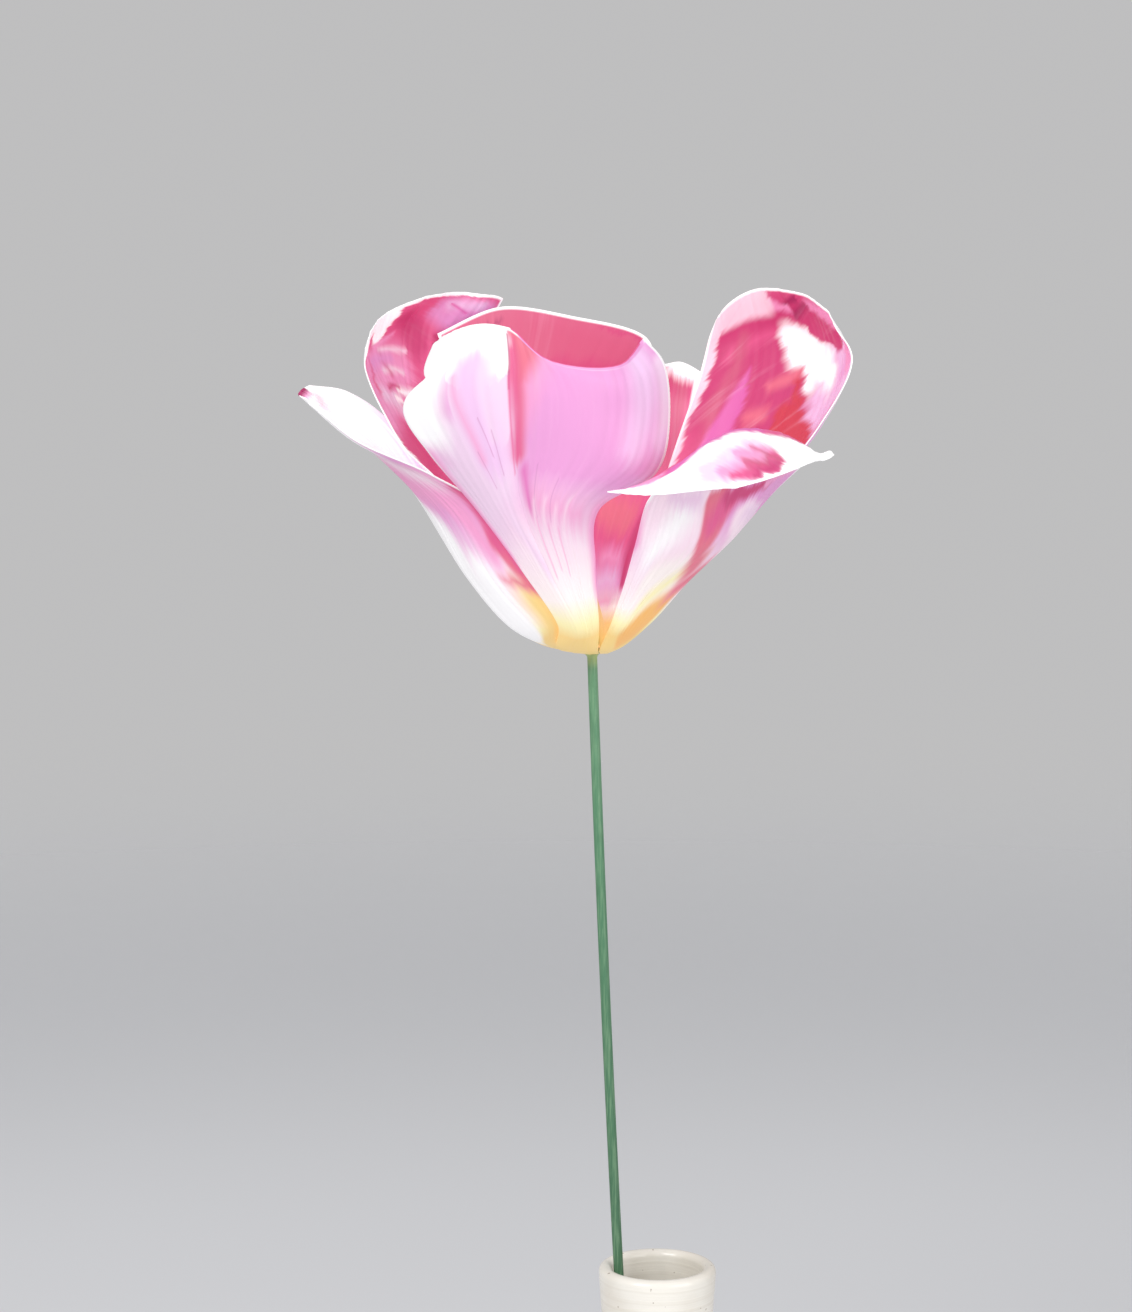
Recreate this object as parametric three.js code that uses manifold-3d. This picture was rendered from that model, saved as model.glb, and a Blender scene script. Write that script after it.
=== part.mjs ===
// A single pink tulip standing in a plain bud vase.
// Millimetres, +Z up. The origin is the centre of the vase's foot, and -Y is the front.
import * as THREE from "three";
import { mergeVertices } from "three/addons/utils/BufferGeometryUtils.js";
import Module from "manifold-3d";

const wasm = await Module();
wasm.setup();

// Driving dimensions
const GAP = 0.3; // clearance between pieces that touch on the real thing
const VASE_HEIGHT = 143;
const VASE_WALL = 3;
const VASE_FLOOR = 6; // thickness of the vase's bottom
const FOOT_RADIUS = 26;
const LIP_RADIUS = 13.2; // outside of the mouth
const NECK_RADIUS = 12.4; // outside of the narrowest place
const WATER_LEVEL = 88;
const BLOOM_HEIGHT = 281.5; // where the petals leave the stem
const STEM_RADIUS = 1.1;
const STEM_LEAN = 0.0344; // sideways run of the stem for each millimetre down from the bloom
const STEM_BEND = 0.0000665; // what that run gains as the stem bends
const RECEPTACLE = { radius: 3.4, top: 1, flare: 3 }; // the stem's widened end, which carries the bloom
const BLOOM_LEAN = -0.32; // sideways lean of the pistil and the stamens
const PETAL_THICKNESS = 0.7;
const STAMENS = 6;

// The stem's middle line, from the bloom's base down.
const stemLine = (down) => new THREE.Vector3(STEM_LEAN * down + STEM_BEND * down * down, 0, -down);
const stemAtLip = stemLine(BLOOM_HEIGHT - VASE_HEIGHT).x;
const BLOOM = new THREE.Vector3(VASE_WALL + GAP + STEM_RADIUS - LIP_RADIUS - stemAtLip, 0, BLOOM_HEIGHT);

const radians = THREE.MathUtils.degToRad;

// A point at a bearing in degrees: 0 is +X, the right, and 270 is the front.
function polar(deg, radius, z) {
  return new THREE.Vector3(Math.cos(radians(deg)) * radius, Math.sin(radians(deg)) * radius, z);
}

// Petals. Each is a net of points from BLOOM: rows run from the claw up to the top edge,
// and the points of a row from the petal's left margin to its right margin, seen from outside the bloom.
//   facing  bearing of the claw, in degrees
//   tuck    how far each margin of the claw is lifted to pass inside its neighbour
//   keel    a fold along the petal: its place from margin to margin, its height, negative where it
//           is a groove, and how fast it fades to its left and to its right
//   ripple  height of the waves along the rim, and their number
const PETALS = {
  front: {
    facing: 262, tuck: [0, 0], keel: [0.4, -1.6, 0.03, 0.13], ripple: [0.3, 2],
    rows: [
      [
        [-7.4, -15.2, 8.1], [-4.9, -16.2, 7.4], [-3, -16.5, 6.9],
        [-1.6, -16.5, 7.1], [-0.2, -16.3, 7.6], [1.3, -15.8, 8.5],
      ],
      [
        [-14.3, -21.5, 19.4], [-12, -24.4, 20.3], [-9.3, -26.2, 20.7],
        [-6, -26.6, 21.1], [-2.7, -26.3, 21.5], [0.5, -25, 22],
      ],
      [
        [-25, -25, 34.3], [-20.4, -31, 35.2], [-15.3, -34, 35.7],
        [-9.5, -36.8, 35.9], [-3.7, -36.4, 35.5], [1.3, -34, 34.6],
      ],
      [
        [-34.4, -26, 45.7], [-26.6, -34.5, 47.3], [-16.6, -39, 48.6],
        [-5.5, -41.5, 48], [4.5, -39, 45.2], [13.2, -33, 42.2],
      ],
      [
        [-40, -24, 54.8], [-30.8, -35.5, 58], [-17, -42, 59.7],
        [-4.8, -43.5, 57], [6.5, -39, 55], [16, -30, 53.5],
      ],
      [
        [-37.2, -25.3, 62], [-29.3, -36, 66.5], [-17.2, -42.4, 67],
        [-6.2, -43.8, 62.2], [6.1, -39.6, 60.6], [14.8, -30.5, 65.2],
      ],
      [
        [-33.6, -27, 68.6], [-27.2, -36, 72.9], [-18, -42, 72.3],
        [-8.7, -43.4, 65.7], [5.1, -39.4, 64.7], [10.5, -31, 70],
      ],
    ],
  },
  right_front: {
    facing: 322, tuck: [0, 0], keel: [0.5, 0.8, 0.08, 0.05], ripple: [0.3, 2],
    rows: [
      [[3.9, -14, 8], [5.2, -13.8, 7.4], [7.2, -12.8, 7], [10.8, -9, 7.2], [13.6, -2.5, 8]],
      [[6.4, -21, 16.4], [9.8, -20.6, 16.3], [13.5, -19, 16.5], [19.3, -12, 16.8], [22.2, -1, 17.5]],
      [[8.9, -29, 26.8], [15.2, -28.2, 26.6], [22.3, -25, 26.5], [29.5, -16, 27.3], [32.5, -3, 28]],
      [[10.9, -35, 35.7], [17.4, -33.8, 36.3], [24.5, -30, 37], [35, -20, 37.2], [40.5, -7, 37.5]],
      [[13, -39, 39.9], [19, -37.5, 44.5], [27, -33.5, 45.5], [39, -23, 46.5], [46.5, -8, 43]],
      [
        [6.8, -45, 39.2], [15, -43.5, 42.6], [26.2, -38.5, 50.5],
        [37.6, -30.5, 50.5], [48.8, -15, 44.6],
      ],
      [[2.7, -48, 39.2], [15.6, -50, 39], [29.4, -48, 40.5], [39.5, -38, 42.3], [51.2, -19, 45.4]],
    ],
  },
  right_back: {
    facing: 22, tuck: [1.1, 1.1], keel: [0.5, 0.6, 0.06, 0.06], ripple: [0.8, 2.5],
    rows: [
      [[10.6, -3.5, 8.7], [12, 2.5, 8], [11.3, 7.8, 8], [9.2, 11, 8.2], [6.5, 13.2, 8.6]],
      [[18.4, -6.5, 19.3], [21.2, 4, 19], [19.5, 13, 19.3], [16.5, 18, 19.5], [11.5, 21.5, 20]],
      [[36.8, -10.5, 36.8], [38.5, 6, 36.5], [34, 20, 37], [27, 28, 37.5], [17, 33, 36.5]],
      [[49.2, -6.5, 49.5], [50.5, 9.5, 52.5], [44.5, 23.5, 55], [35.5, 33, 56], [23, 40, 54.5]],
      [[56, 1.5, 63.5], [53.5, 16, 67.5], [47, 27, 68.5], [37, 36, 68.5], [26.8, 42, 65]],
      [[54, 6, 70], [49, 17, 76.7], [42, 27, 79.7], [34.5, 35, 78.3], [28.4, 41, 73]],
    ],
  },
  back: {
    facing: 82, tuck: [0, 1.1], keel: [0.5, 0.6, 0.06, 0.06], ripple: [0.4, 2],
    rows: [
      [
        [8.5, 14.6, 8.4], [5.5, 15.7, 8.2], [3, 16.2, 8.1], [0, 16, 8],
        [-3, 15.2, 8.2], [-6, 13.8, 8.4], [-8.5, 12, 8.6],
      ],
      [
        [13.5, 22.7, 19.5], [9, 25, 19.3], [5, 26.2, 19.2], [0, 26.2, 19.2],
        [-5, 25, 19.3], [-10, 22.8, 19.6], [-14, 20, 20],
      ],
      [
        [24, 33.5, 37], [18, 36.5, 36.7], [11, 38.5, 36.3], [2.5, 39, 36],
        [-8, 37.2, 36.3], [-16.5, 33.5, 36.8], [-22.5, 28, 37],
      ],
      [
        [26.5, 42, 52], [20, 44.5, 53], [13, 46, 53.5], [4, 46.3, 54],
        [-9, 44, 53.8], [-20.5, 39, 53.5], [-28.5, 33, 53],
      ],
      [
        [28, 41, 58.5], [20.8, 44.5, 62.5], [16.3, 46, 62.2], [12.5, 46.3, 68.4],
        [-4, 45.3, 73], [-20.5, 42, 75.2], [-33, 35, 70.5],
      ],
    ],
  },
  left_back: {
    facing: 142, tuck: [0, 1.1], keel: [0.5, 0.6, 0.06, 0.06], ripple: [0.45, 2.5],
    rows: [
      [[-7, 14.8, 8.2], [-11, 12.5, 7.8], [-14, 9, 7.5], [-15.6, 4.5, 7.4], [-15.6, 0, 7.8]],
      [[-12.5, 24.5, 19.5], [-19, 20.5, 19], [-23.5, 15, 18.8], [-25.7, 8.5, 19], [-25.5, 0, 20.5]],
      [[-18, 37, 37], [-27.5, 31.5, 36], [-33, 23.5, 36], [-34.6, 11.5, 37], [-33, -2, 39.5]],
      [[-22, 42, 56], [-33, 35, 55.5], [-40.6, 26, 55], [-43.6, 15, 54.5], [-43.5, 2, 50.4]],
      [[-23, 45, 70], [-33, 39, 70.5], [-42, 30, 70.5], [-48.5, 19, 67], [-50.1, 5, 62.1]],
      [[-20.7, 44, 76.2], [-27.5, 39, 78.3], [-37.2, 31, 77.8], [-46.7, 20, 73.3], [-50.9, 8, 68.4]],
    ],
  },
  left_front: {
    facing: 202, tuck: [0, 1.1], keel: [0.5, 0.6, 0.06, 0.06], ripple: [0.3, 2],
    rows: [
      [[-17.3, 5.6, 7.7], [-18, 0, 6.8], [-17.2, -6, 6.5], [-13, -11.5, 7.2], [-6, -14, 8.4]],
      [[-28, 9.3, 20], [-28, 1.5, 18.5], [-26.8, -7.5, 18], [-22, -16, 18], [-13, -20.5, 19.5]],
      [[-38.6, 11.5, 42.5], [-38.9, 4, 36], [-35.5, -8, 33.3], [-30.5, -17.5, 33], [-22.5, -23, 34]],
      [[-45.8, 12.5, 51.5], [-46.8, 4.5, 47], [-44, -6, 42.5], [-39.5, -14.5, 41], [-34, -22, 41]],
      [[-54, 8, 57], [-54.5, 2.5, 54], [-53.7, -3.5, 50.2], [-52.4, -9, 48.4], [-51, -13, 47.5]],
      [[-61.5, -1, 59], [-62.5, -3, 58.5], [-63.3, -5, 57.7], [-62.5, -7, 56.7], [-61, -8.5, 55.3]],
    ],
  },
};
// The claw's two rows, which every petal has: radius, height, how far its middle is left of BLOOM,
// and half width in degrees
const CLAW = [
  { radius: 4.1, height: 0.6, left: 0, spread: 27 },
  { radius: 9.2, height: 2.2, left: 2, spread: 28.5 },
];
const ROWS = 20;
const COLUMNS = 16;

// The two lowest rows of a petal's net, spread evenly about its bearing.
function clawRows({ facing, tuck, rows }) {
  const last = rows[0].length - 1;
  return CLAW.map(({ radius, height, left, spread }, row) =>
    rows[0].map((_, j) => {
      const lift = row * THREE.MathUtils.lerp(tuck[0], tuck[1], j / last);
      const point = polar(facing + spread * ((2 * j) / last - 1), radius, height + lift);
      return point.sub(new THREE.Vector3(left, 0, 0));
    }),
  );
}

// A petal's middle surface as a function of u, 0 to 1 from margin to margin, and v, 0 to 1
// from the claw up.
function petalSurface(petal) {
  const net = [...clawRows(petal), ...petal.rows.map((row) => row.map((p) => new THREE.Vector3(...p)))];
  const ribs = net[0].map((_, j) => new THREE.CatmullRomCurve3(net.map((row) => row[j])));
  return (u, v) => new THREE.CatmullRomCurve3(ribs.map((rib) => rib.getPoint(v))).getPoint(u);
}

// How far a petal's keel and rippled rim stand out from its smooth surface.
function petalRelief({ keel: [place, height, fadeLeft, fadeRight], ripple: [wave, waves] }, u, v) {
  const { smoothstep } = THREE.MathUtils;
  const side = (u - place) / (u < place ? fadeLeft : fadeRight);
  const fold = height * smoothstep(v, 0.2, 0.8) * Math.exp(-Math.abs(side));
  const rim = Math.max(Math.abs(2 * u - 1) ** 4, v ** 6) * smoothstep(v, 0.5, 0.8);
  return fold + wave * rim * Math.sin(2 * Math.PI * waves * (u + v));
}

// A closed blade: the same grid of triangles on both faces, joined round the edge.
function petalGeometry(petal) {
  const surface = petalSurface(petal);
  const step = 0.005;
  const faces = [[], []];
  for (let i = 0; i <= ROWS; i++) {
    for (let j = 0; j <= COLUMNS; j++) {
      const [u, v] = [j / COLUMNS, i / ROWS];
      const du = surface(Math.min(u + step, 1), v).sub(surface(Math.max(u - step, 0), v));
      const dv = surface(u, Math.min(v + step, 1)).sub(surface(u, Math.max(v - step, 0)));
      const outward = du.cross(dv).normalize();
      const point = surface(u, v).addScaledVector(outward, petalRelief(petal, u, v));
      faces[0].push(point.clone().addScaledVector(outward, PETAL_THICKNESS / 2));
      faces[1].push(point.clone().addScaledVector(outward, -PETAL_THICKNESS / 2));
    }
  }
  const wide = COLUMNS + 1;
  const count = faces[0].length;
  const index = [];
  for (let i = 0; i < ROWS; i++) {
    for (let j = 0; j < COLUMNS; j++) {
      const [a, b] = [i * wide + j, i * wide + j + 1];
      const [c, d] = [b + wide, a + wide];
      index.push(a, b, c, a, c, d);
      index.push(count + a, count + c, count + b, count + a, count + d, count + c);
    }
  }
  const rim = [];
  for (let j = 0; j < COLUMNS; j++) rim.push(j);
  for (let i = 0; i < ROWS; i++) rim.push(i * wide + COLUMNS);
  for (let j = COLUMNS; j > 0; j--) rim.push(ROWS * wide + j);
  for (let i = ROWS; i > 0; i--) rim.push(i * wide);
  rim.forEach((a, k) => {
    const b = rim[(k + 1) % rim.length];
    index.push(a, count + a, count + b, a, count + b, b);
  });
  return new THREE.BufferGeometry().setFromPoints(faces.flat()).setIndex(index);
}

// A closed body swept up or down a line: rings whose radius depends on the distance along
// and the angle round.
function swept(line, radius, steps, sides) {
  const points = [line(0)];
  for (let i = 0; i <= steps; i++) {
    const ahead = line(Math.min(i + 0.5, steps) / steps);
    const along = ahead.sub(line(Math.max(i - 0.5, 0) / steps)).normalize();
    const side = new THREE.Vector3(1, 0, 0).projectOnPlane(along).normalize();
    const other = along.clone().cross(side);
    for (let k = 0; k < sides; k++) {
      const angle = (2 * Math.PI * k) / sides;
      const r = radius(i / steps, angle);
      const point = line(i / steps).addScaledVector(side, r * Math.cos(angle));
      points.push(point.addScaledVector(other, r * Math.sin(angle)));
    }
  }
  points.push(line(1));
  const index = [];
  for (let k = 0; k < sides; k++) {
    const next = (k + 1) % sides;
    index.push(0, 1 + next, 1 + k);
    for (let i = 0; i < steps; i++) {
      const [a, b] = [1 + i * sides + k, 1 + i * sides + next];
      index.push(a, b, b + sides, a, b + sides, a + sides);
    }
    index.push(points.length - 1, 1 + steps * sides + k, 1 + steps * sides + next);
  }
  return new THREE.BufferGeometry().setFromPoints(points).setIndex(index);
}

// A smooth curve through evenly spaced values, read at t from 0 to 1.
function profile(values) {
  const points = values.map((value) => new THREE.Vector3(value, 0, 0));
  const curve = new THREE.CatmullRomCurve3(points, false, "catmullrom");
  return (t) => curve.getPoint(t).x;
}

const tulip = new THREE.Group();
const bloom = new THREE.Group(); // everything that is placed from the bloom's base
bloom.position.copy(BLOOM);
tulip.add(bloom);

function addMesh(parent, name, geometry, material) {
  const mesh = new THREE.Mesh(geometry, material);
  mesh.name = name;
  parent.add(mesh);
}

const petalColour = new THREE.MeshStandardMaterial({ color: 0xeda6d6, roughness: 0.5 });
for (const [name, petal] of Object.entries(PETALS)) {
  addMesh(bloom, "petal_" + name, petalGeometry(petal), petalColour);
}

// The stem, with the receptacle flaring at its top and its cut end just above the vase's floor.
// Its rings are close together in the flare and further apart below.
const STEM_STEPS = 34;
const FLARE_STEPS = 4;
const STEM_SIDES = 10;
function stemDown(t) {
  const { lerp, mapLinear } = THREE.MathUtils;
  const flareEnd = RECEPTACLE.flare - RECEPTACLE.top;
  const ring = t * STEM_STEPS;
  if (ring < FLARE_STEPS) return lerp(-RECEPTACLE.top, flareEnd, ring / FLARE_STEPS);
  return mapLinear(ring, FLARE_STEPS, STEM_STEPS, flareEnd, BLOOM_HEIGHT - VASE_FLOOR - GAP);
}
function stemRadius(t) {
  const flare = Math.max(0, 1 - (stemDown(t) + RECEPTACLE.top) / RECEPTACLE.flare);
  return STEM_RADIUS + (RECEPTACLE.radius - STEM_RADIUS) * flare * flare;
}
addMesh(
  bloom,
  "stem",
  swept((t) => stemLine(stemDown(t)), stemRadius, STEM_STEPS, STEM_SIDES),
  new THREE.MeshStandardMaterial({ color: 0x5f9070, roughness: 0.55 }),
);

// The pistil: a three-sided ovary under a three-lobed stigma
const ORGAN_FOOT = RECEPTACLE.top + 2 * GAP;
const PISTIL_LENGTH = 25;
const PISTIL_STEPS = 12;
const PISTIL_SIDES = 12;
const STIGMA_FROM = 0.8; // where the lobes begin, as a share of the length
const pistilProfile = profile([1.5, 2.7, 3, 2.9, 2.7, 2.3, 3.1, 1]);
function pistilRadius(t, angle) {
  const lobe = t > STIGMA_FROM ? 0.3 : 0.1;
  return pistilProfile(t) * (1 + lobe * Math.cos(3 * angle));
}
const leaning = (rise) => new THREE.Vector3(BLOOM_LEAN * rise, 0, ORGAN_FOOT + rise);
addMesh(
  bloom,
  "pistil",
  swept((t) => leaning(PISTIL_LENGTH * t), pistilRadius, PISTIL_STEPS, PISTIL_SIDES),
  new THREE.MeshStandardMaterial({ color: 0xb9c46a, roughness: 0.6 }),
);

// Six stamens: a slender filament that carries a long anther
const STAMEN_LENGTH = 27;
const STAMEN_STEPS = 14;
const STAMEN_SIDES = 8;
const stamenOut = profile([2.7, 4.1, 4.6, 4.8, 5.3, 5.4]);
const stamenRadius = profile([0.55, 0.75, 0.7, 0.6, 0.6, 1.3, 1.5, 1.45, 1.2, 0.5]);
const stamenColour = new THREE.MeshStandardMaterial({ color: 0x3d2b45, roughness: 0.7 });
for (let k = 0; k < STAMENS; k++) {
  const facing = (360 / STAMENS) * (k + 0.5);
  const line = (t) => polar(facing, stamenOut(t), 0).add(leaning(STAMEN_LENGTH * t));
  addMesh(bloom, `stamen_${k + 1}`, swept(line, stamenRadius, STAMEN_STEPS, STAMEN_SIDES), stamenColour);
}

// The vase: its wall follows the outer profile at an even thickness, down to a flat floor.
const VASE_STEPS = 15;
const VASE_SIDES = 32;
const FOOT_BEVEL = 1;
const FLOOR_FILLET = 2;
const vaseOutside = new THREE.SplineCurve([
  new THREE.Vector2(FOOT_RADIUS, FOOT_BEVEL),
  new THREE.Vector2(32.5, 24),
  new THREE.Vector2(33.5, 50),
  new THREE.Vector2(24.5, 84),
  new THREE.Vector2(14, 108),
  new THREE.Vector2(NECK_RADIUS, 125),
  new THREE.Vector2(LIP_RADIUS, VASE_HEIGHT - VASE_WALL / 2),
]);
const vaseInside = (depth) =>
  vaseOutside.getPoints(VASE_STEPS).map((p, i) => {
    const tangent = vaseOutside.getTangent(i / VASE_STEPS);
    return new THREE.Vector2(p.x - tangent.y * depth, p.y + tangent.x * depth);
  });
const outer = vaseOutside.getPoints(VASE_STEPS);
const inner = vaseInside(VASE_WALL).filter((p) => p.y > VASE_FLOOR + FLOOR_FILLET);
const lipCentre = outer.at(-1).clone().lerp(inner.at(-1), 0.5);
const lip = [45, 90, 135].map((deg) => {
  const edge = polar(deg, VASE_WALL / 2, 0);
  return new THREE.Vector2(lipCentre.x + edge.x, lipCentre.y + edge.y);
});
const uprightLathe = (points) => new THREE.LatheGeometry(points, VASE_SIDES).rotateX(Math.PI / 2);
addMesh(
  tulip,
  "vase",
  uprightLathe([
    new THREE.Vector2(0, 0),
    new THREE.Vector2(FOOT_RADIUS - FOOT_BEVEL, 0),
    ...outer,
    ...lip,
    ...inner.toReversed(),
    new THREE.Vector2(inner[0].x - FLOOR_FILLET, VASE_FLOOR),
    new THREE.Vector2(0, VASE_FLOOR),
  ]),
  new THREE.MeshStandardMaterial({ color: 0xeeeae2, roughness: 0.3 }),
);

// A closed geometry as a solid that can be cut, and back again.
function toSolid(geometry) {
  const bare = geometry.clone().deleteAttribute("normal").deleteAttribute("uv");
  const merged = mergeVertices(bare, 1e-4);
  const vertProperties = Float32Array.from(merged.attributes.position.array);
  const triVerts = Uint32Array.from(merged.index.array);
  return new wasm.Manifold(new wasm.Mesh({ numProp: 3, vertProperties, triVerts }));
}
function toGeometry(solid) {
  const { vertProperties, triVerts } = solid.getMesh();
  const geometry = new THREE.BufferGeometry();
  geometry.setAttribute("position", new THREE.BufferAttribute(vertProperties, 3));
  return geometry.setIndex(new THREE.BufferAttribute(triVerts, 1));
}

// The water fills the vase to its level and has a hole where the stem stands in it.
const waterSide = vaseInside(VASE_WALL + GAP).filter((p) => p.y > VASE_FLOOR + FLOOR_FILLET);
const bank = waterSide.filter((p) => p.y < WATER_LEVEL);
const [below, above] = waterSide.slice(bank.length - 1);
const brim = below.clone().lerp(above, (WATER_LEVEL - below.y) / (above.y - below.y));
const waterBottom = VASE_FLOOR + GAP;
const water = toSolid(
  uprightLathe([
    new THREE.Vector2(0, waterBottom),
    new THREE.Vector2(bank[0].x - FLOOR_FILLET, waterBottom),
    ...bank,
    brim,
    new THREE.Vector2(0, WATER_LEVEL),
  ]),
);
const HOLE_STEPS = 12;
const HOLE_RISE = 5; // how far the cutter reaches above the water
const holeTop = BLOOM_HEIGHT - WATER_LEVEL - HOLE_RISE;
const holeLine = (t) => stemLine(THREE.MathUtils.lerp(holeTop, BLOOM_HEIGHT, t)).add(BLOOM);
const stemHole = toSolid(swept(holeLine, () => STEM_RADIUS + GAP, HOLE_STEPS, STEM_SIDES));
addMesh(
  tulip,
  "water",
  toGeometry(water.subtract(stemHole)),
  new THREE.MeshStandardMaterial({ color: 0xdfeef2, roughness: 0.05, transparent: true, opacity: 0.5 }),
);

export default tulip;
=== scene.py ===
# %% [markdown]
# A single pink tulip standing in a small bud vase. Six petals make a wide open cup on a slender
# stem, the pistil and six stamens stand inside it, and the stem leans in a plain glazed vase that
# is a little over half full of water. The construction model gives the sizes and the places. Here
# each of its pieces is made again with a finer surface and a finish, in metres, with +Z up.

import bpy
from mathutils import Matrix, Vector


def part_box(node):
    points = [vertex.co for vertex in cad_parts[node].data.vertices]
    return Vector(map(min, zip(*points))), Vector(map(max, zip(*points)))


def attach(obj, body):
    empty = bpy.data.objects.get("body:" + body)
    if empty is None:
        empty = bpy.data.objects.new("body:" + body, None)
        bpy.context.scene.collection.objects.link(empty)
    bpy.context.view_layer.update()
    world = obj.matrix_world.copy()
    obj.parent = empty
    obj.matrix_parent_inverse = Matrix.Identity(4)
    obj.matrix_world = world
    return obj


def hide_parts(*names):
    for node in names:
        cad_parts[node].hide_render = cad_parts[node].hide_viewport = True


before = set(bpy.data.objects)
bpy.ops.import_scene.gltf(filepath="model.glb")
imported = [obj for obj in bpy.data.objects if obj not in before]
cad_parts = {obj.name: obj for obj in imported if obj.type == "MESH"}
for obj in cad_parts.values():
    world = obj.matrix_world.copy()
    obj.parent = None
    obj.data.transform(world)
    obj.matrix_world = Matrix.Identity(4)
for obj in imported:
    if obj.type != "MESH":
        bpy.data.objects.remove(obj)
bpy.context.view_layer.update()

import math

import bpy
import numpy as np
from mathutils import Vector

MM = 0.001
print("nodes to dress:", len(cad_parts))

# %% [markdown]
# Everything in the bloom is measured from one point, the place where the petals leave the stem.
# The stem widens there into a small disc that carries the petals. The disc is the highest and the
# leftmost part of the stem's solid, so the solid's box tells where that point is.

# %% Find the foot of the bloom
DISC_RADIUS = 3.4 * MM
DISC_RISE = 1 * MM  # how far the disc stands above the petals' foot
STEM_LEAN = 0.0344  # sideways run of the stem for each millimetre down
STEM_BEND = 0.0000665  # what that run gains each millimetre as the stem bends

stem_low, stem_high = (np.array(corner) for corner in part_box("stem"))
foot_across = stem_low[0] + DISC_RADIUS + STEM_LEAN * DISC_RISE
# The disc is square to the leaning stem, so its right edge is the stem's highest point
foot_height = stem_high[2] - DISC_RISE - STEM_LEAN * DISC_RADIUS
bloom_foot = np.array([foot_across, 0, foot_height])
print("the petals leave the stem at", (bloom_foot / MM).round(2), "mm")

# %% [markdown]
# The camera looks slightly down on the flower through a long lens, as in the photograph. One
# picture element there is 0.22 mm at the bloom, so the lens and that scale give the distance, and
# the camera is aimed so that the foot of the bloom falls on its own spot in the picture.

# %% Set up the camera
PICTURE_WIDE, PICTURE_HIGH = 1132, 1312
FOOT_ACROSS, FOOT_DOWN = 592, 654  # where the foot of the bloom is in the picture
ELEMENT = 0.22 * MM
LENS, SENSOR = 90, 36
NEAREST = 0.05  # the camera sees nothing closer than this
LOOKING_DOWN = math.radians(7)

distance = ELEMENT * PICTURE_HIGH * LENS / SENSOR
forward = np.array([0, math.cos(LOOKING_DOWN), -math.sin(LOOKING_DOWN)])
right = np.array([1, 0, 0])
up = np.cross(right, forward)
aim = bloom_foot + ELEMENT * (
    right * (PICTURE_WIDE / 2 - FOOT_ACROSS) + up * (FOOT_DOWN - PICTURE_HIGH / 2)
)
camera = bpy.data.objects.new("camera", bpy.data.cameras.new("camera"))
camera.data.lens, camera.data.sensor_width = LENS, SENSOR
camera.data.clip_start = NEAREST
camera.location = aim - forward * distance
camera.rotation_euler = (math.pi / 2 - LOOKING_DOWN, 0, 0)
bpy.context.scene.collection.objects.link(camera)
bpy.context.scene.camera = camera
print("camera", round(distance, 3), "m away")

# %% [markdown]
# Petals could be sculpted, or bent from flat outlines. Here each one is a net of points, set on its
# real form, with smooth curves drawn through them: first up the petal and then across it. That keeps
# every petal its own shape, and gives each spot two numbers that the finish can use later: how far
# across the petal it is, and how far along.

# %% Smooth curves through points
def through(points, t, even=False):
    """Places at t, from 0 to 1, on a smooth curve through points, along their first axis."""
    first, last = 2 * points[:1] - points[1:2], 2 * points[-1:] - points[-2:-1]
    chain = np.concatenate([first, points, last])
    gaps = np.sqrt(np.linalg.norm(np.diff(chain, axis=0), axis=-1, keepdims=True))
    if even:
        gaps = np.ones_like(gaps)
    place = np.asarray(t) * (len(points) - 1)
    i = np.minimum(place.astype(int), len(points) - 2)
    w = (place - i).reshape([-1] + [1] * (points.ndim - 1))
    before, here, there, after = (chain[i + k] for k in range(4))
    a, b, c = (gaps[i + k] for k in range(3))
    leave = b * ((here - before) / a - (there - before) / (a + b) + (there - here) / b)
    arrive = b * ((there - here) / b - (after - here) / (b + c) + (after - there) / c)
    step = there - here
    return here + w * (leave + w * (3 * step - 2 * leave - arrive + w * (leave + arrive - 2 * step)))


def smoothstep(x, low, high):
    """0 below low and 1 above high, with a smooth way between them."""
    t = np.clip((x - low) / (high - low), 0, 1)
    return t * t * (3 - 2 * t)


def polar(degrees, radius, z):
    """Points given by their bearing and their distance from the upright axis."""
    angle = np.radians(degrees)
    return np.stack(np.broadcast_arrays(radius * np.cos(angle), radius * np.sin(angle), z), -1)


# %% [markdown]
# Six nets follow, one for each petal. Rows run up from the claw, and the points of a row from the
# petal's left margin to its right one, seen from outside, in millimetres from the foot of the bloom.
# Beside its rows a net says:
#   facing  bearing of the claw: 0 is the right and 270 the front
#   tuck    how far each margin of the claw is lifted to pass inside its neighbour
#   keel    a fold along the petal: place across, height, and how fast it fades to left and right
#   ripple  height of the waves along the rim, and their number
#   tears   notches in the left margin: place along, depth, and how fast it fades below and above
#   swells  soft bulges: place across and along, reach across and along, and the way they go

# %% Begin the list of nets
PETALS = {}

# %% [markdown]
# The front petal is the broadest and closes the cup towards the viewer. It is folded lengthwise, a
# little left of its middle, and a notch parts its left margin into two lobes. A fold is too sharp
# for a smooth curve through so few points, so the keel adds it, and a tear draws in the notch.

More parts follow.
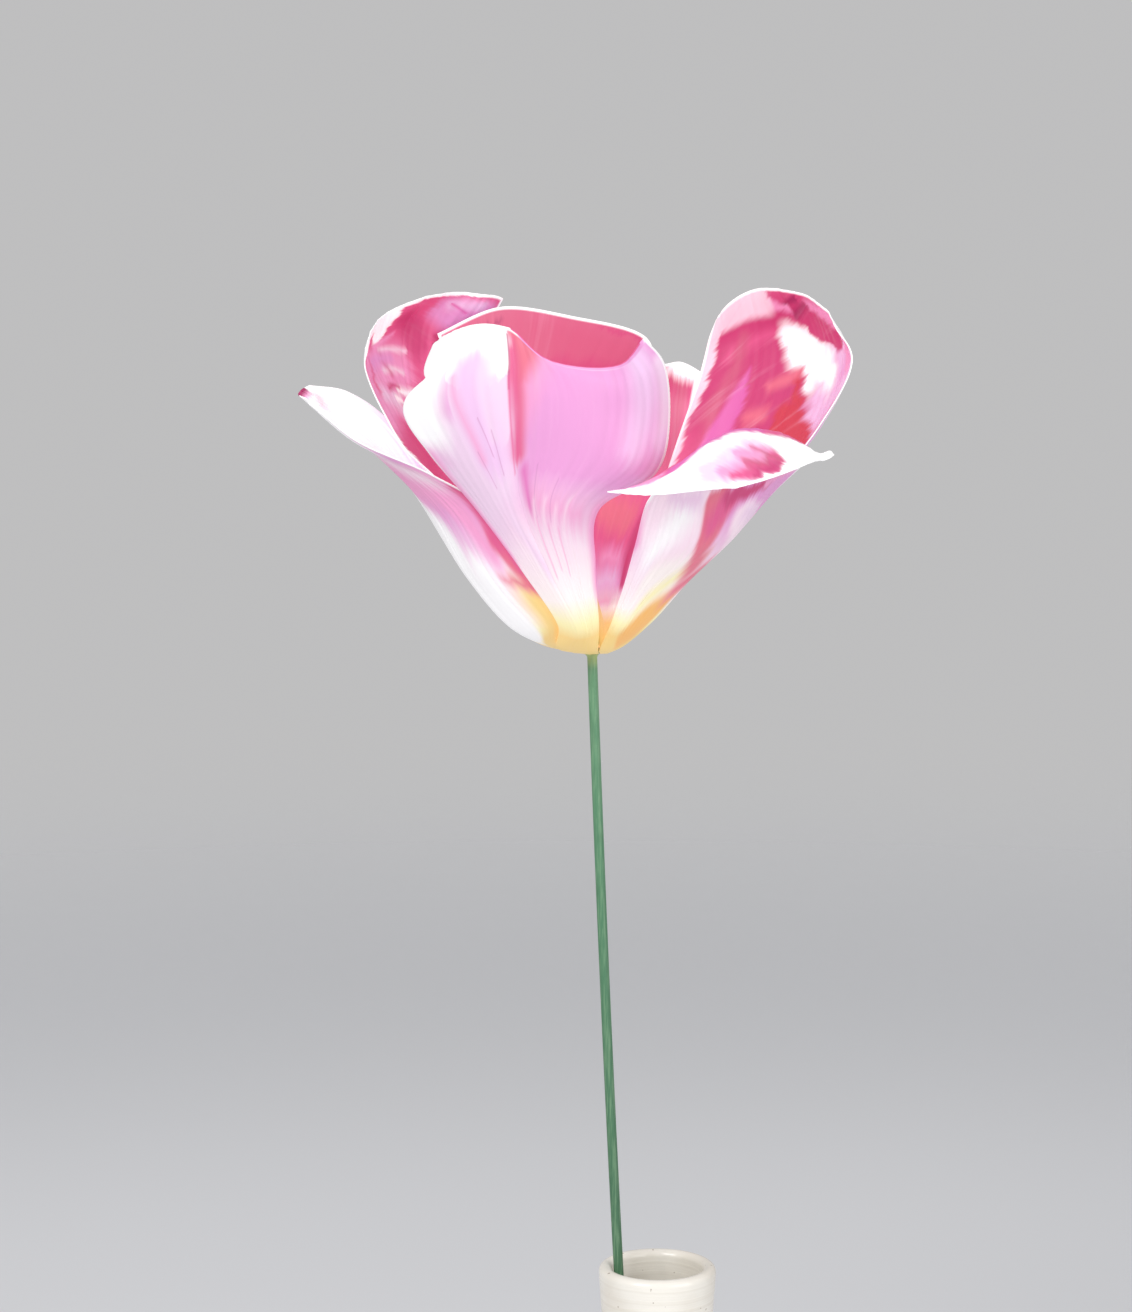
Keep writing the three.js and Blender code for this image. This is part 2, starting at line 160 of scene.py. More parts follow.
# %% The net of the front petal
PETALS["front"] = dict(
    facing=262, tuck=(0, 0), keel=(0.4, -1.6, 0.03, 0.13), ripple=(0.3, 2),
    tears=[(0.835, 0.085, 0.014, 0.055)], swells=[(0.16, 1, 0.1, 0.12, (0, 0, -0.9))],
    rows=[
        [(-7.4, -15.2, 8.1), (-4.9, -16.2, 7.4), (-3, -16.5, 6.9),
         (-1.6, -16.5, 7.1), (-0.2, -16.3, 7.6), (1.3, -15.8, 8.5)],
        [(-14.3, -21.5, 19.4), (-12, -24.4, 20.3), (-9.3, -26.2, 20.7),
         (-6, -26.6, 21.1), (-2.7, -26.3, 21.5), (0.5, -25, 22)],
        [(-25, -25, 34.3), (-20.4, -31, 35.2), (-15.3, -34, 35.7),
         (-9.5, -36.8, 35.9), (-3.7, -36.4, 35.5), (1.3, -34, 34.6)],
        [(-34.4, -26, 45.7), (-26.6, -34.5, 47.3), (-16.6, -39, 48.6),
         (-5.5, -41.5, 48), (4.5, -39, 45.2), (13.2, -33, 42.2)],
        [(-40, -24, 54.8), (-30.8, -35.5, 58), (-17, -42, 59.7),
         (-4.8, -43.5, 57), (6.5, -39, 55), (16, -30, 53.5)],
        [(-37.2, -25.3, 62), (-29.3, -36, 66.5), (-17.2, -42.4, 67),
         (-6.2, -43.8, 62.2), (6.1, -39.6, 60.6), (14.8, -30.5, 65.2)],
        [(-33.6, -27, 68.6), (-27.2, -36, 72.9), (-18, -42, 72.3),
         (-8.7, -43.4, 65.7), (5.1, -39.4, 64.7), (10.5, -31, 70)],
    ],
)

# %% [markdown]
# The right front petal has curled over: its upper part is turned outwards and down as a flap, and
# the flap's tip curls up. A bend modifier would turn the blade along a straight line. Here the turn
# slants across the petal, so the last rows of the net themselves go up, over and down again.

# %% The net of the right front petal
PETALS["right_front"] = dict(
    facing=322, tuck=(0, 0), keel=(0.5, 0.8, 0.08, 0.05), ripple=(0.3, 2),
    swells=[(0.97, 1, 0.06, 0.14, (0, 0, -0.9)), (1, 0.95, 0.02, 0.04, (0.3, 0, 1))],
    rows=[
        [(3.9, -14, 8), (5.2, -13.8, 7.4), (7.2, -12.8, 7), (10.8, -9, 7.2), (13.6, -2.5, 8)],
        [(6.4, -21, 16.4), (9.8, -20.6, 16.3), (13.5, -19, 16.5), (19.3, -12, 16.8), (22.2, -1, 17.5)],
        [(8.9, -29, 26.8), (15.2, -28.2, 26.6), (22.3, -25, 26.5), (29.5, -16, 27.3), (32.5, -3, 28)],
        [(10.9, -35, 35.7), (17.4, -33.8, 36.3), (24.5, -30, 37), (35, -20, 37.2), (40.5, -7, 37.5)],
        [(13, -39, 39.9), (19, -37.5, 44.5), (27, -33.5, 45.5), (39, -23, 46.5), (46.5, -8, 43)],
        [(6.8, -45, 39.2), (15, -43.5, 42.6), (26.2, -38.5, 50.5),
         (37.6, -30.5, 50.5), (48.8, -15, 44.6)],
        [(2.7, -48, 39.2), (15.6, -50, 39), (29.4, -48, 40.5), (39.5, -38, 42.3), (51.2, -19, 45.4)],
    ],
)

# %% [markdown]
# The right back petal stands the tallest, leans out to the right and shows its inner face. Its rim
# waves more than the others do. One swell rounds its upper corner at the left, where the net's last
# row meets the margin at an angle, and the other fills a dent beside the corner at the right.

# %% The net of the right back petal
PETALS["right_back"] = dict(
    facing=22, tuck=(1.1, 1.1), keel=(0.5, 0.6, 0.06, 0.06), ripple=(0.8, 2.5),
    swells=[(1, 1, 0.1, 0.07, (0.4, 0, -0.7)), (0.12, 1, 0.09, 0.12, (1.4, 0, 1))],
    rows=[
        [(10.6, -3.5, 8.7), (12, 2.5, 8), (11.3, 7.8, 8), (9.2, 11, 8.2), (6.5, 13.2, 8.6)],
        [(18.4, -6.5, 19.3), (21.2, 4, 19), (19.5, 13, 19.3), (16.5, 18, 19.5), (11.5, 21.5, 20)],
        [(36.8, -10.5, 36.8), (38.5, 6, 36.5), (34, 20, 37), (27, 28, 37.5), (17, 33, 36.5)],
        [(49.2, -6.5, 49.5), (50.5, 9.5, 52.5), (44.5, 23.5, 55), (35.5, 33, 56), (23, 40, 54.5)],
        [(56, 1.5, 63.5), (53.5, 16, 67.5), (47, 27, 68.5), (37, 36, 68.5), (26.8, 42, 65)],
        [(54, 6, 70), (49, 17, 76.7), (42, 27, 79.7), (34.5, 35, 78.3), (28.4, 41, 73)],
    ],
)

# %% [markdown]
# The back petal closes the cup behind. Its right shoulder is lower than the rest of its rim and
# shows between the two petals at the right, so its last row steps down there.

# %% The net of the back petal
PETALS["back"] = dict(
    facing=82, tuck=(0, 1.1), keel=(0.5, 0.6, 0.06, 0.06), ripple=(0.4, 2),
    swells=[(1, 1, 0.035, 0.05, (-2, 0, -1.2))],
    rows=[
        [(8.5, 14.6, 8.4), (5.5, 15.7, 8.2), (3, 16.2, 8.1), (0, 16, 8),
         (-3, 15.2, 8.2), (-6, 13.8, 8.4), (-8.5, 12, 8.6)],
        [(13.5, 22.7, 19.5), (9, 25, 19.3), (5, 26.2, 19.2), (0, 26.2, 19.2),
         (-5, 25, 19.3), (-10, 22.8, 19.6), (-14, 20, 20)],
        [(24, 33.5, 37), (18, 36.5, 36.7), (11, 38.5, 36.3), (2.5, 39, 36),
         (-8, 37.2, 36.3), (-16.5, 33.5, 36.8), (-22.5, 28, 37)],
        [(26.5, 42, 52), (20, 44.5, 53), (13, 46, 53.5), (4, 46.3, 54),
         (-9, 44, 53.8), (-20.5, 39, 53.5), (-28.5, 33, 53)],
        [(28, 41, 58.5), (20.8, 44.5, 62.5), (16.3, 46, 62.2), (12.5, 46.3, 68.4),
         (-4, 45.3, 73), (-20.5, 42, 75.2), (-33, 35, 70.5)],
    ],
)

# %% [markdown]
# The left back petal leans out to the left. Its rim is rounded, and its outer margin bulges halfway
# up. Such a bulge is local, so a swell makes it and the net stays regular.

# %% The net of the left back petal
PETALS["left_back"] = dict(
    facing=142, tuck=(0, 1.1), keel=(0.5, 0.6, 0.06, 0.06), ripple=(0.45, 2.5),
    swells=[(0.05, 1, 0.12, 0.1, (0.5, 0, 1.1)), (1, 1, 0.06, 0.08, (1, 0, -1.6)),
            (1, 0.62, 0.12, 0.07, (-2.8, 0, 0))],
    rows=[
        [(-7, 14.8, 8.2), (-11, 12.5, 7.8), (-14, 9, 7.5), (-15.6, 4.5, 7.4), (-15.6, 0, 7.8)],
        [(-12.5, 24.5, 19.5), (-19, 20.5, 19), (-23.5, 15, 18.8), (-25.7, 8.5, 19), (-25.5, 0, 20.5)],
        [(-18, 37, 37), (-27.5, 31.5, 36), (-33, 23.5, 36), (-34.6, 11.5, 37), (-33, -2, 39.5)],
        [(-22, 42, 56), (-33, 35, 55.5), (-40.6, 26, 55), (-43.6, 15, 54.5), (-43.5, 2, 50.4)],
        [(-23, 45, 70), (-33, 39, 70.5), (-42, 30, 70.5), (-48.5, 19, 67), (-50.1, 5, 62.1)],
        [(-20.7, 44, 76.2), (-27.5, 39, 78.3), (-37.2, 31, 77.8), (-46.7, 20, 73.3), (-50.9, 8, 68.4)],
    ],
)

# %% [markdown]
# The left front petal has opened the furthest. It reaches far out to the left and narrows to a
# small tip, so its inner face is seen above and its outer face below. Its rows crowd towards the
# tip, where the form changes fastest.

# %% The net of the left front petal
PETALS["left_front"] = dict(
    facing=202, tuck=(0, 1.1), keel=(0.5, 0.6, 0.06, 0.06), ripple=(0.3, 2),
    rows=[
        [(-17.3, 5.6, 7.7), (-18, 0, 6.8), (-17.2, -6, 6.5), (-13, -11.5, 7.2), (-6, -14, 8.4)],
        [(-28, 9.3, 20), (-28, 1.5, 18.5), (-26.8, -7.5, 18), (-22, -16, 18), (-13, -20.5, 19.5)],
        [(-38.6, 11.5, 42.5), (-38.9, 4, 36), (-35.5, -8, 33.3), (-30.5, -17.5, 33), (-22.5, -23, 34)],
        [(-45.8, 12.5, 51.5), (-46.8, 4.5, 47), (-44, -6, 42.5), (-39.5, -14.5, 41), (-34, -22, 41)],
        [(-54, 8, 57), (-54.5, 2.5, 54), (-53.7, -3.5, 50.2), (-52.4, -9, 48.4), (-51, -13, 47.5)],
        [(-61.5, -1, 59), (-62.5, -3, 58.5), (-63.3, -5, 57.7), (-62.5, -7, 56.7), (-61, -8.5, 55.3)],
    ],
)

# %% [markdown]
# All six claws are alike: two rows on arcs round the stem, which widen upwards. They are worked out
# from the bearing, and each margin is lifted by its tuck, so that neighbours pass each other. Then
# the surface is read from the net, the tears draw in its margin, and the swells push it out.

# %% From a net to a surface
# The claw's two rows: radius, height, how far left of the foot, and half width in degrees
CLAW = [(4.1, 0.6, 0, 27), (9.2, 2.2, 2, 28.5)]
TEAR_FADE = 8  # how fast a tear closes from the margin inwards


def petal_net(facing, tuck, rows, **folds):
    """All the rows of a petal's net, with the claw's rows first."""
    share = np.linspace(0, 1, len(rows[0]))
    lift = tuck[0] + (tuck[1] - tuck[0]) * share
    claw = [
        polar(facing + half * (2 * share - 1), radius, height + row * lift) - np.array([left, 0, 0])
        for row, (radius, height, left, half) in enumerate(CLAW)
    ]
    return np.array(claw + [np.array(row, float) for row in rows])


def petal_points(petal, u, v):
    """The petal's middle surface at every u across and v along, as a grid of points."""
    ribs = through(petal_net(**petal), v)
    grid = through(ribs.transpose(1, 0, 2), u).transpose(1, 0, 2)
    for place, depth, below, above in petal.get("tears", []):
        pull = depth * np.exp(-np.abs(v - place) / np.where(v < place, below, above))
        for row, drawn in zip(grid, pull):
            row[:] = np.stack([np.interp(u + drawn * (1 - u) ** TEAR_FADE, u, axis) for axis in row.T], 1)
    for place_u, place_v, reach_u, reach_v, way in petal.get("swells", []):
        near = np.exp(-(((u - place_u) / reach_u) ** 2) - ((v[:, None] - place_v) / reach_v) ** 2)
        grid += near[..., None] * np.array(way)
    return grid


for name, petal in PETALS.items():
    print(name, "net of", len(petal["rows"]) + len(CLAW), "rows by", len(petal["rows"][0]))

# %% [markdown]
# The net gives only the broad form. A real petal also has a fold along its middle, a rim that waves
# a little, and shallow pleats over its veins. A Displace modifier could raise them from a texture,
# but they follow the petal's own length and width. So they are heights above the smooth surface,
# worked out by formulas, and added along the surface's own direction outwards.

# %% Folds, waves and pleats
PLEATS = 7  # waves that are added up to make the pleats of a petal
PLEAT_HEIGHT = 0.02
PLEATS_ACROSS = (8, 30)  # how often a pleat's wave comes across the petal, at least and at most
PLEAT_SLANT = 1  # how many waves it may drift sideways on its way up
# The stretches of the petal's length over which each relief comes in
FOLD_COMES, WAVE_COMES, PLEATS_COME = (0.2, 0.8), (0.5, 0.8), (0.1, 0.4)
WAVE_SIDES, WAVE_TOP = 4, 6  # how closely the waves keep to the side margins and to the top


def petal_relief(u, v, keel, ripple, seed):
    """Height in millimetres above the smooth surface, for grids of u and v."""
    place, height, fade_left, fade_right = keel
    side = (u - place) / np.where(u < place, fade_left, fade_right)
    fold = height * smoothstep(v, *FOLD_COMES) * np.exp(-np.abs(side))
    rim = np.maximum(np.abs(2 * u - 1) ** WAVE_SIDES, v**WAVE_TOP) * smoothstep(v, *WAVE_COMES)
    wave = ripple[0] * rim * np.sin(2 * math.pi * ripple[1] * (u + v))
    draw = np.random.default_rng(seed)
    pleats = 0
    for _ in range(PLEATS):
        turns = draw.uniform(*PLEATS_ACROSS) * u + draw.uniform(-PLEAT_SLANT, PLEAT_SLANT) * v
        pleats = pleats + np.sin(2 * math.pi * (turns + draw.random()))
    return fold + wave + PLEAT_HEIGHT * pleats * smoothstep(v, *PLEATS_COME)


def directions_out(grid):
    """The direction outwards at each point of a petal's grid, one unit long."""
    out = np.cross(np.gradient(grid, axis=1), np.gradient(grid, axis=0))
    return out / np.linalg.norm(out, axis=-1, keepdims=True)


# %% [markdown]
# A petal is a blade, half a millimetre thick in the middle and thinner at its rim, which is rounded.
# A Solidify modifier would give one even thickness and a square rim, so both faces are made from
# the grid and joined round the edge by a narrow strip. Each vertex keeps four values for the finish:
# how far across, how far along, how far in from the rim, and whether it is on the inner face.

# %% Measure along a petal
def lengths_along(grid, axis):
    """Distance from the start of each line of the grid to its points."""
    steps = np.linalg.norm(np.diff(grid, axis=axis), axis=-1)
    start = np.zeros_like(np.take(steps, [0], axis))
    return np.concatenate([start, np.cumsum(steps, axis)], axis)


def rim_distance(grid):
    """Distance of each point from the petal's left, right or upper margin."""
    across, along = lengths_along(grid, 1), lengths_along(grid, 0)
    return np.minimum(np.minimum(across, across[:, -1:] - across), along[-1:] - along)


# %% Add a mesh that keeps values for its finish
def add_mesh(name, vertices, faces):
    """A smooth mesh object with its place in its vertices, given in metres."""
    mesh = bpy.data.meshes.new(name)
    mesh.from_pydata(vertices.tolist(), [], faces)
    mesh.polygons.foreach_set("use_smooth", [True] * len(mesh.polygons))
    piece = bpy.data.objects.new(name, mesh)
    bpy.context.scene.collection.objects.link(piece)
    return piece


def keep_values(piece, **values):
    """Keeps a number for each vertex under each name, for the finish to read."""
    for name, numbers in values.items():
        attribute = piece.data.attributes.new(name, "FLOAT", "POINT")
        attribute.data.foreach_set("value", np.asarray(numbers, np.float32).ravel())


# %% Turn a petal's grid into a blade
HALF_THICK, HALF_RIM = 0.26, 0.12  # half the thickness in the middle and at the rim
RIM_TAPER = 3  # width of the stretch that thins to the rim
RIM_ROUND = 0.08  # how far the rounded edge stands out
OUTER, EDGE, INNER = 0, 0.5, 1  # what the value named inside is on each face and on the edge


def add_blade(name, grid, u, v):
    """A closed blade round a grid of points in millimetres from the foot of the bloom."""
    out, rim = directions_out(grid), rim_distance(grid)
    half = (HALF_RIM + (HALF_THICK - HALF_RIM) * smoothstep(rim, 0, RIM_TAPER))[..., None]
    index = np.arange(u.size).reshape(u.shape)
    loop = np.concatenate([index[0, :-1], index[:-1, -1], index[-1, :0:-1], index[:0:-1, 0]])
    edge, edge_out = grid.reshape(-1, 3)[loop], out.reshape(-1, 3)[loop]
    away = np.cross(np.roll(edge, -1, 0) - np.roll(edge, 1, 0), edge_out)
    away /= np.linalg.norm(away, axis=1, keepdims=True)
    outer_face, inner_face = (grid + out * half).reshape(-1, 3), (grid - out * half).reshape(-1, 3)
    vertices = np.concatenate([outer_face, inner_face, edge + away * RIM_ROUND])
    count = u.size
    outer = np.stack([index[:-1, :-1], index[:-1, 1:], index[1:, 1:], index[1:, :-1]], -1).reshape(-1, 4)
    ring = 2 * count + np.arange(len(loop))
    sides = [(loop, ring), (ring, count + loop)]
    strips = [np.stack([a, b, np.roll(b, -1), np.roll(a, -1)], 1) for a, b in sides]
    faces = np.concatenate([outer, outer[:, ::-1] + count, *strips])
    blade = add_mesh(name, bloom_foot + vertices * MM, faces.tolist())
    u, v, rim = u.ravel(), v.ravel(), rim.ravel()
    keep_values(
        blade,
        across=np.concatenate([u, u, u[loop]]),
        along=np.concatenate([v, v, v[loop]]),
        rim=np.concatenate([rim, rim, rim[loop]]),
        inside=np.repeat([OUTER, INNER, EDGE], [count, count, len(loop)]),
    )
    return blade


# %% Make the six petals
ACROSS_STEPS, ALONG_STEPS = 120, 150


def make_petal(name, seed):
    """One petal, from its net to its blade."""
    petal = PETALS[name]
    across, along = np.linspace(0, 1, ACROSS_STEPS + 1), np.linspace(0, 1, ALONG_STEPS + 1)
    u, v = np.meshgrid(across, along)
    grid = petal_points(petal, across, along)
    grid += directions_out(grid) * petal_relief(u, v, petal["keel"], petal["ripple"], seed)[..., None]
    return add_blade(name + "_petal", grid, u, v)


def dress(piece, node):
    """Sets a piece of the tulip in its place in the construction."""
    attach(piece, "root")
    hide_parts(node)
    print(piece.name, len(piece.data.polygons), "faces")


petals = {name: make_petal(name, seed) for seed, name in enumerate(PETALS)}
for name, blade in petals.items():
    dress(blade, "petal_" + name)

# %% [markdown]
# A finish is a small machine of nodes. Written node by node it is long and hard to follow, so a
# socket is wrapped in a class that knows arithmetic: an expression such as 1 - mask * 0.5 then adds
# the Math nodes that work it out. Every other node comes from one method.

# %% A socket that knows arithmetic
class Wire:
    """A node's output. Arithmetic on it adds Math nodes."""

    def __init__(self, finish, socket):
        self.finish, self.socket = finish, socket

    def math(self, operation, *values, clamp=False):
        """A Math node on these values and wires."""
        settings = {"operation": operation, "use_clamp": clamp}
        return self.finish.node("ShaderNodeMath", settings, dict(enumerate(values)))

    def __add__(self, other):
        return self.math("ADD", self, other)

    def __sub__(self, other):
        return self.math("SUBTRACT", self, other)

    def __rsub__(self, other):
        return self.math("SUBTRACT", other, self)

    def __mul__(self, other):
        return self.math("MULTIPLY", self, other)

    __radd__, __rmul__ = __add__, __mul__

    def vector(self, operation, inputs, output="Vector"):
        """A Vector Math node with this wire in its first socket."""
        settings = {"operation": operation}
        return self.finish.node("ShaderNodeVectorMath", settings, {0: self, **inputs}, output)

    def ramp_to_one(self, low, high):
        """0 below low and 1 above high, with a smooth way between them; low may be the larger."""
        settings = {"interpolation_type": "SMOOTHSTEP"}
        inputs = {"Value": self, "From Min": low, "From Max": high}
        return self.finish.node("ShaderNodeMapRange", settings, inputs)


# %% [markdown]
# The wires belong to a material in the making. It adds any node by its type, its settings and the
# values or wires of its sockets, and at the end it puts a Principled shader on the pieces.

# %% A finish in the making
class Finish:
    """A material in the making."""

    def __init__(self, name):
        self.material = bpy.data.materials.new(name)
        self.material.use_nodes = True
        self.tree = self.material.node_tree
        self.tree.nodes.clear()

    def node(self, kind, settings=None, inputs=None, output=0):
        """Adds a node, makes its settings, then fills or links its sockets, and gives one output."""
        node = self.tree.nodes.new(kind)
        for key, value in (settings or {}).items():
            if key == "stops":
                set_stops(node.color_ramp, value)
            else:
                setattr(node, key, value)
        for key, value in (inputs or {}).items():
            if isinstance(value, Wire):
                self.tree.links.new(node.inputs[key], value.socket)
            else:
                node.inputs[key].default_value = value
        return Wire(self, node.outputs[output]) if node.outputs else None

    def kept(self, name):
        """A value that the mesh keeps for each vertex."""
        return self.node("ShaderNodeAttribute", {"attribute_name": name}, output="Fac")

    def mix(self, mask, under, over, blend="MIX"):
        """The colour over where mask is 1 and the colour under where it is 0."""
        inputs = {0: mask, 6: under, 7: over}
        return self.node("ShaderNodeMix", {"data_type": "RGBA", "blend_type": blend}, inputs, output=2)

    def noise(self, place, scale, detail=2, roughness=0.5):
        """A Noise Texture, from 0 to 1. With places in metres, scale is its waves in a metre."""
        inputs = {"Vector": place, "Scale": scale, "Detail": detail, "Roughness": roughness}
        return self.node("ShaderNodeTexNoise", None, inputs, output="Fac")

    def wear(self, *pieces, **inputs):
        """Puts a Principled shader with these sockets on the pieces."""
        named = {key.replace("_", " "): value for key, value in inputs.items()}
        shader = self.node("ShaderNodeBsdfPrincipled", None, named)
        self.node("ShaderNodeOutputMaterial", None, {"Surface": shader})
        for piece in pieces:
            piece.data.materials.clear()
            piece.data.materials.append(self.material)
        print(self.material.name, "has", len(self.tree.nodes), "nodes")


# %% [markdown]
# A ramp is the simplest way to let a colour change along a piece, and one helper fills it. Colours
# are written as a screen shows them, from 0 to 255, because those are easy to judge. Shaders
# reckon with linear values, so the other helper works them out.

# %% Colours and their ramps
def set_stops(ramp, stops):
    """Places a ramp's colour stops: a list of place and colour."""
    while len(ramp.elements) < len(stops):
        ramp.elements.new(1)
    for element, (place, colour) in zip(ramp.elements, stops):
        element.position, element.color = place, colour


def colour(red, green, blue):
    """A colour given as on a screen, from 0 to 255, in the linear values that shaders use."""
    share = np.array([red, green, blue]) / 255
    linear = np.where(share <= 0.04045, share / 12.92, ((share + 0.055) / 1.055) ** 2.4)
    return (*linear.tolist(), 1)


print("middle grey in linear values:", [round(value, 3) for value in colour(128, 128, 128)])

# %% [markdown]
# Some strokes are painted light and shade: white highlights, and rose, salmon and crimson shade.
# The petals' colours are those of the real flower: yellow and apricot at the claw, cream above it,
# then orchid pink outside and deep rose inside, with a thin white rim. They could come from ramps
# alone, but the flower is uneven, with white and crimson patches that are feathered along its
# veins. So each face starts from a ramp up the petal, and brush strokes are laid over it.
# A stroke runs from one spot of the petal to another. A spot is how far across, and how far along.

# %% The paints
PAINTS = {
    "white": colour(255, 253, 254),
    "blush": colour(250, 224, 238),
    "lavender": colour(238, 196, 234),
    "mist": colour(240, 209, 234),
    "mauve": colour(205, 140, 186),
    "orchid": colour(230, 157, 211),
    "pink": colour(241, 160, 205),
    "rose": colour(224, 92, 144),
    "dusty": colour(206, 92, 128),
    "deep_rose": colour(204, 66, 122),
    "crimson": colour(208, 64, 84),
    "salmon": colour(228, 114, 138),
    "wine": colour(168, 44, 100),
    "magenta": colour(222, 106, 180),
    "cream": colour(252, 240, 238),
    "butter": colour(252, 242, 188),
    "yellow": colour(247, 212, 136),
    "apricot": colour(244, 184, 104),
}
SHADE = (0.86, 0.6, 0.74, 1)  # what the darker streaks multiply their paint by
# The ramps up each face: how far along, and the paint there
OUTSIDE = [(0, "yellow"), (0.21, "yellow"), (0.27, "butter"), (0.32, "cream"), (0.42, "blush"),
           (0.57, "orchid")]
INSIDE = [(0, "yellow"), (0.26, "yellow"), (0.34, "cream"), (0.42, "orchid"), (0.54, "rose"),
          (0.8, "rose")]
print("paints:", ", ".join(PAINTS))

# %% [markdown]
# Six lists of strokes follow. A stroke says its paint, its start, its end, its half width at the
# start and at the end, and the softness of its edge. Widths are shares of the petal's length. The
# strokes named rim are laid last, over the white rim, and the streaks don't feather them.
#   grain    how far the streaks turn from the petal's length, in degrees, outside and inside
#   streaky  how strong the lighter and darker streaks are, outside and inside

# %% Begin the list of strokes
STROKES = {}

# %% [markdown]
# The front petal shows its outer face. It is orchid pink, its left half is white above, in part as a
# painted highlight where it faces the lamp, and pale lavender below, a salmon band of painted shade
# runs down beside the fold with a thin line of painted shadow along it, and fine pale and dark lines
# follow its veins.

# %% Strokes on the front petal
STROKES["front"] = {
    "grain": (0, 0),
    "streaky": (0.06, 0.1),
    "outside": [
        ("mist", (0.05, 0.52), (0.3, 0.56), 0.09, 0.08, 0.1),
        ("pink", (0.5, 0.5), (0.85, 0.48), 0.02, 0.015, 0.1),
        ("mist", (0.3, 0.46), (0.38, 0.38), 0.02, 0.02, 0.06),
        ("magenta", (0.44, 0.56), (0.47, 0.5), 0.012, 0.012, 0.05),
        ("lavender", (0.9, 0.98), (0.86, 0.66), 0.045, 0.035, 0.07),
        ("mist", (0.99, 0.88), (0.97, 0.7), 0.03, 0.02, 0.05),
        ("lavender", (0.97, 0.7), (0.97, 0.6), 0.02, 0.01, 0.06),
        ("pink", (1, 0.5), (1, 0.34), 0.045, 0.03, 0.08),
        # painted shade: pink, salmon and rose in the fold, to the right of its crease
        ("pink", (0.48, 1.02), (0.43, 0.66), 0.09, 0.012, 0.06),
        ("salmon", (0.46, 1.03), (0.42, 0.8), 0.07, 0.02, 0.05),
        ("salmon", (0.42, 0.88), (0.42, 0.6), 0.016, 0.01, 0.04),
        ("rose", (0.4, 0.96), (0.41, 0.6), 0.01, 0.014, 0.04),
        ("mist", (0.2, 0.62), (0.3, 0.66), 0.07, 0.061, 0.05),
        ("mist", (0.3, 0.66), (0.3, 0.8), 0.061, 0.061, 0.006),
        # painted highlight in part: the white of the left half, where it faces the lamp
        ("white", (0.29, 0.83), (0.29, 1.02), 0.0685, 0.0685, 0.006),
        ("white", (0.07, 0.7), (0.1, 1), 0.07, 0.12, 0.07),
        ("white", (0.24, 0.95), (0.3, 0.95), 0.08, 0.06, 0.05),
        ("mist", (0.29, 0.84), (0.31, 0.7), 0.035, 0.05, 0.07),
        ("mist", (0.35, 0.79), (0.355, 0.7), 0.01, 0.012, 0.03),
        ("lavender", (0.26, 0.83), (0.3, 0.6), 0.02, 0.045, 0.06),
        ("pink", (0.225, 0.8), (0.26, 0.6), 0.002, 0.006, 0.04),
        ("mist", (0.31, 0.82), (0.33, 0.64), 0.006, 0.008, 0.03),
        ("mauve", (0.29, 0.68), (0.31, 0.6), 0.0004, 0.0008, 0.006),
        ("mauve", (0.325, 0.66), (0.34, 0.56), 0.0004, 0.0008, 0.006),
        ("mauve", (0.25, 0.62), (0.275, 0.54), 0.0004, 0.0006, 0.006),
        ("mauve", (0.5, 0.58), (0.51, 0.47), 0.0004, 0.0008, 0.008),
        ("mauve", (0.62, 0.56), (0.62, 0.47), 0.0004, 0.0006, 0.008),
        ("blush", (0.5, 0.5), (0.45, 0.4), 0.001, 0.006, 0.05),
        ("blush", (0.58, 0.51), (0.54, 0.42), 0.0005, 0.004, 0.044),
        ("blush", (0.66, 0.49), (0.62, 0.43), 0.001, 0.004, 0.05),
        ("blush", (0.74, 0.51), (0.7, 0.4), 0.0005, 0.005, 0.044),
        ("pink", (0.5, 0.47), (0.48, 0.37), 0.001, 0.002, 0.024),
        ("pink", (0.59, 0.46), (0.57, 0.38), 0.001, 0.002, 0.02),
        ("pink", (0.67, 0.45), (0.65, 0.37), 0.001, 0.002, 0.024),
        # painted shadow: a thin wine and rose line along the edge of the fold
        ("wine", (0.388, 0.98), (0.388, 0.75), 0.0012, 0.0006, 0.006),
        ("rose", (0.388, 0.8), (0.39, 0.56), 0.0014, 0.0004, 0.008),
        ("pink", (0, 0.62), (0, 0.42), 0.02, 0.025, 0.04),
    ],
    "inside": [
        ("salmon", (0.5, 0.55), (0.55, 0.8), 0.12, 0.1, 0.15),
        ("crimson", (0.6, 0.5), (0.62, 0.75), 0.02, 0.03, 0.06),
        ("blush", (0.06, 0.95), (0.08, 0.7), 0.04, 0.03, 0.06),
        ("blush", (0.92, 0.95), (0.93, 0.6), 0.03, 0.03, 0.06),
    ],
    "rim": [
        ("orchid", (0.47, 1), (0.96, 1), 0.02, 0.02, 0.01),
        ("rose", (0.41, 1), (0.96, 1), 0.004, 0.004, 0.006),
    ],
}
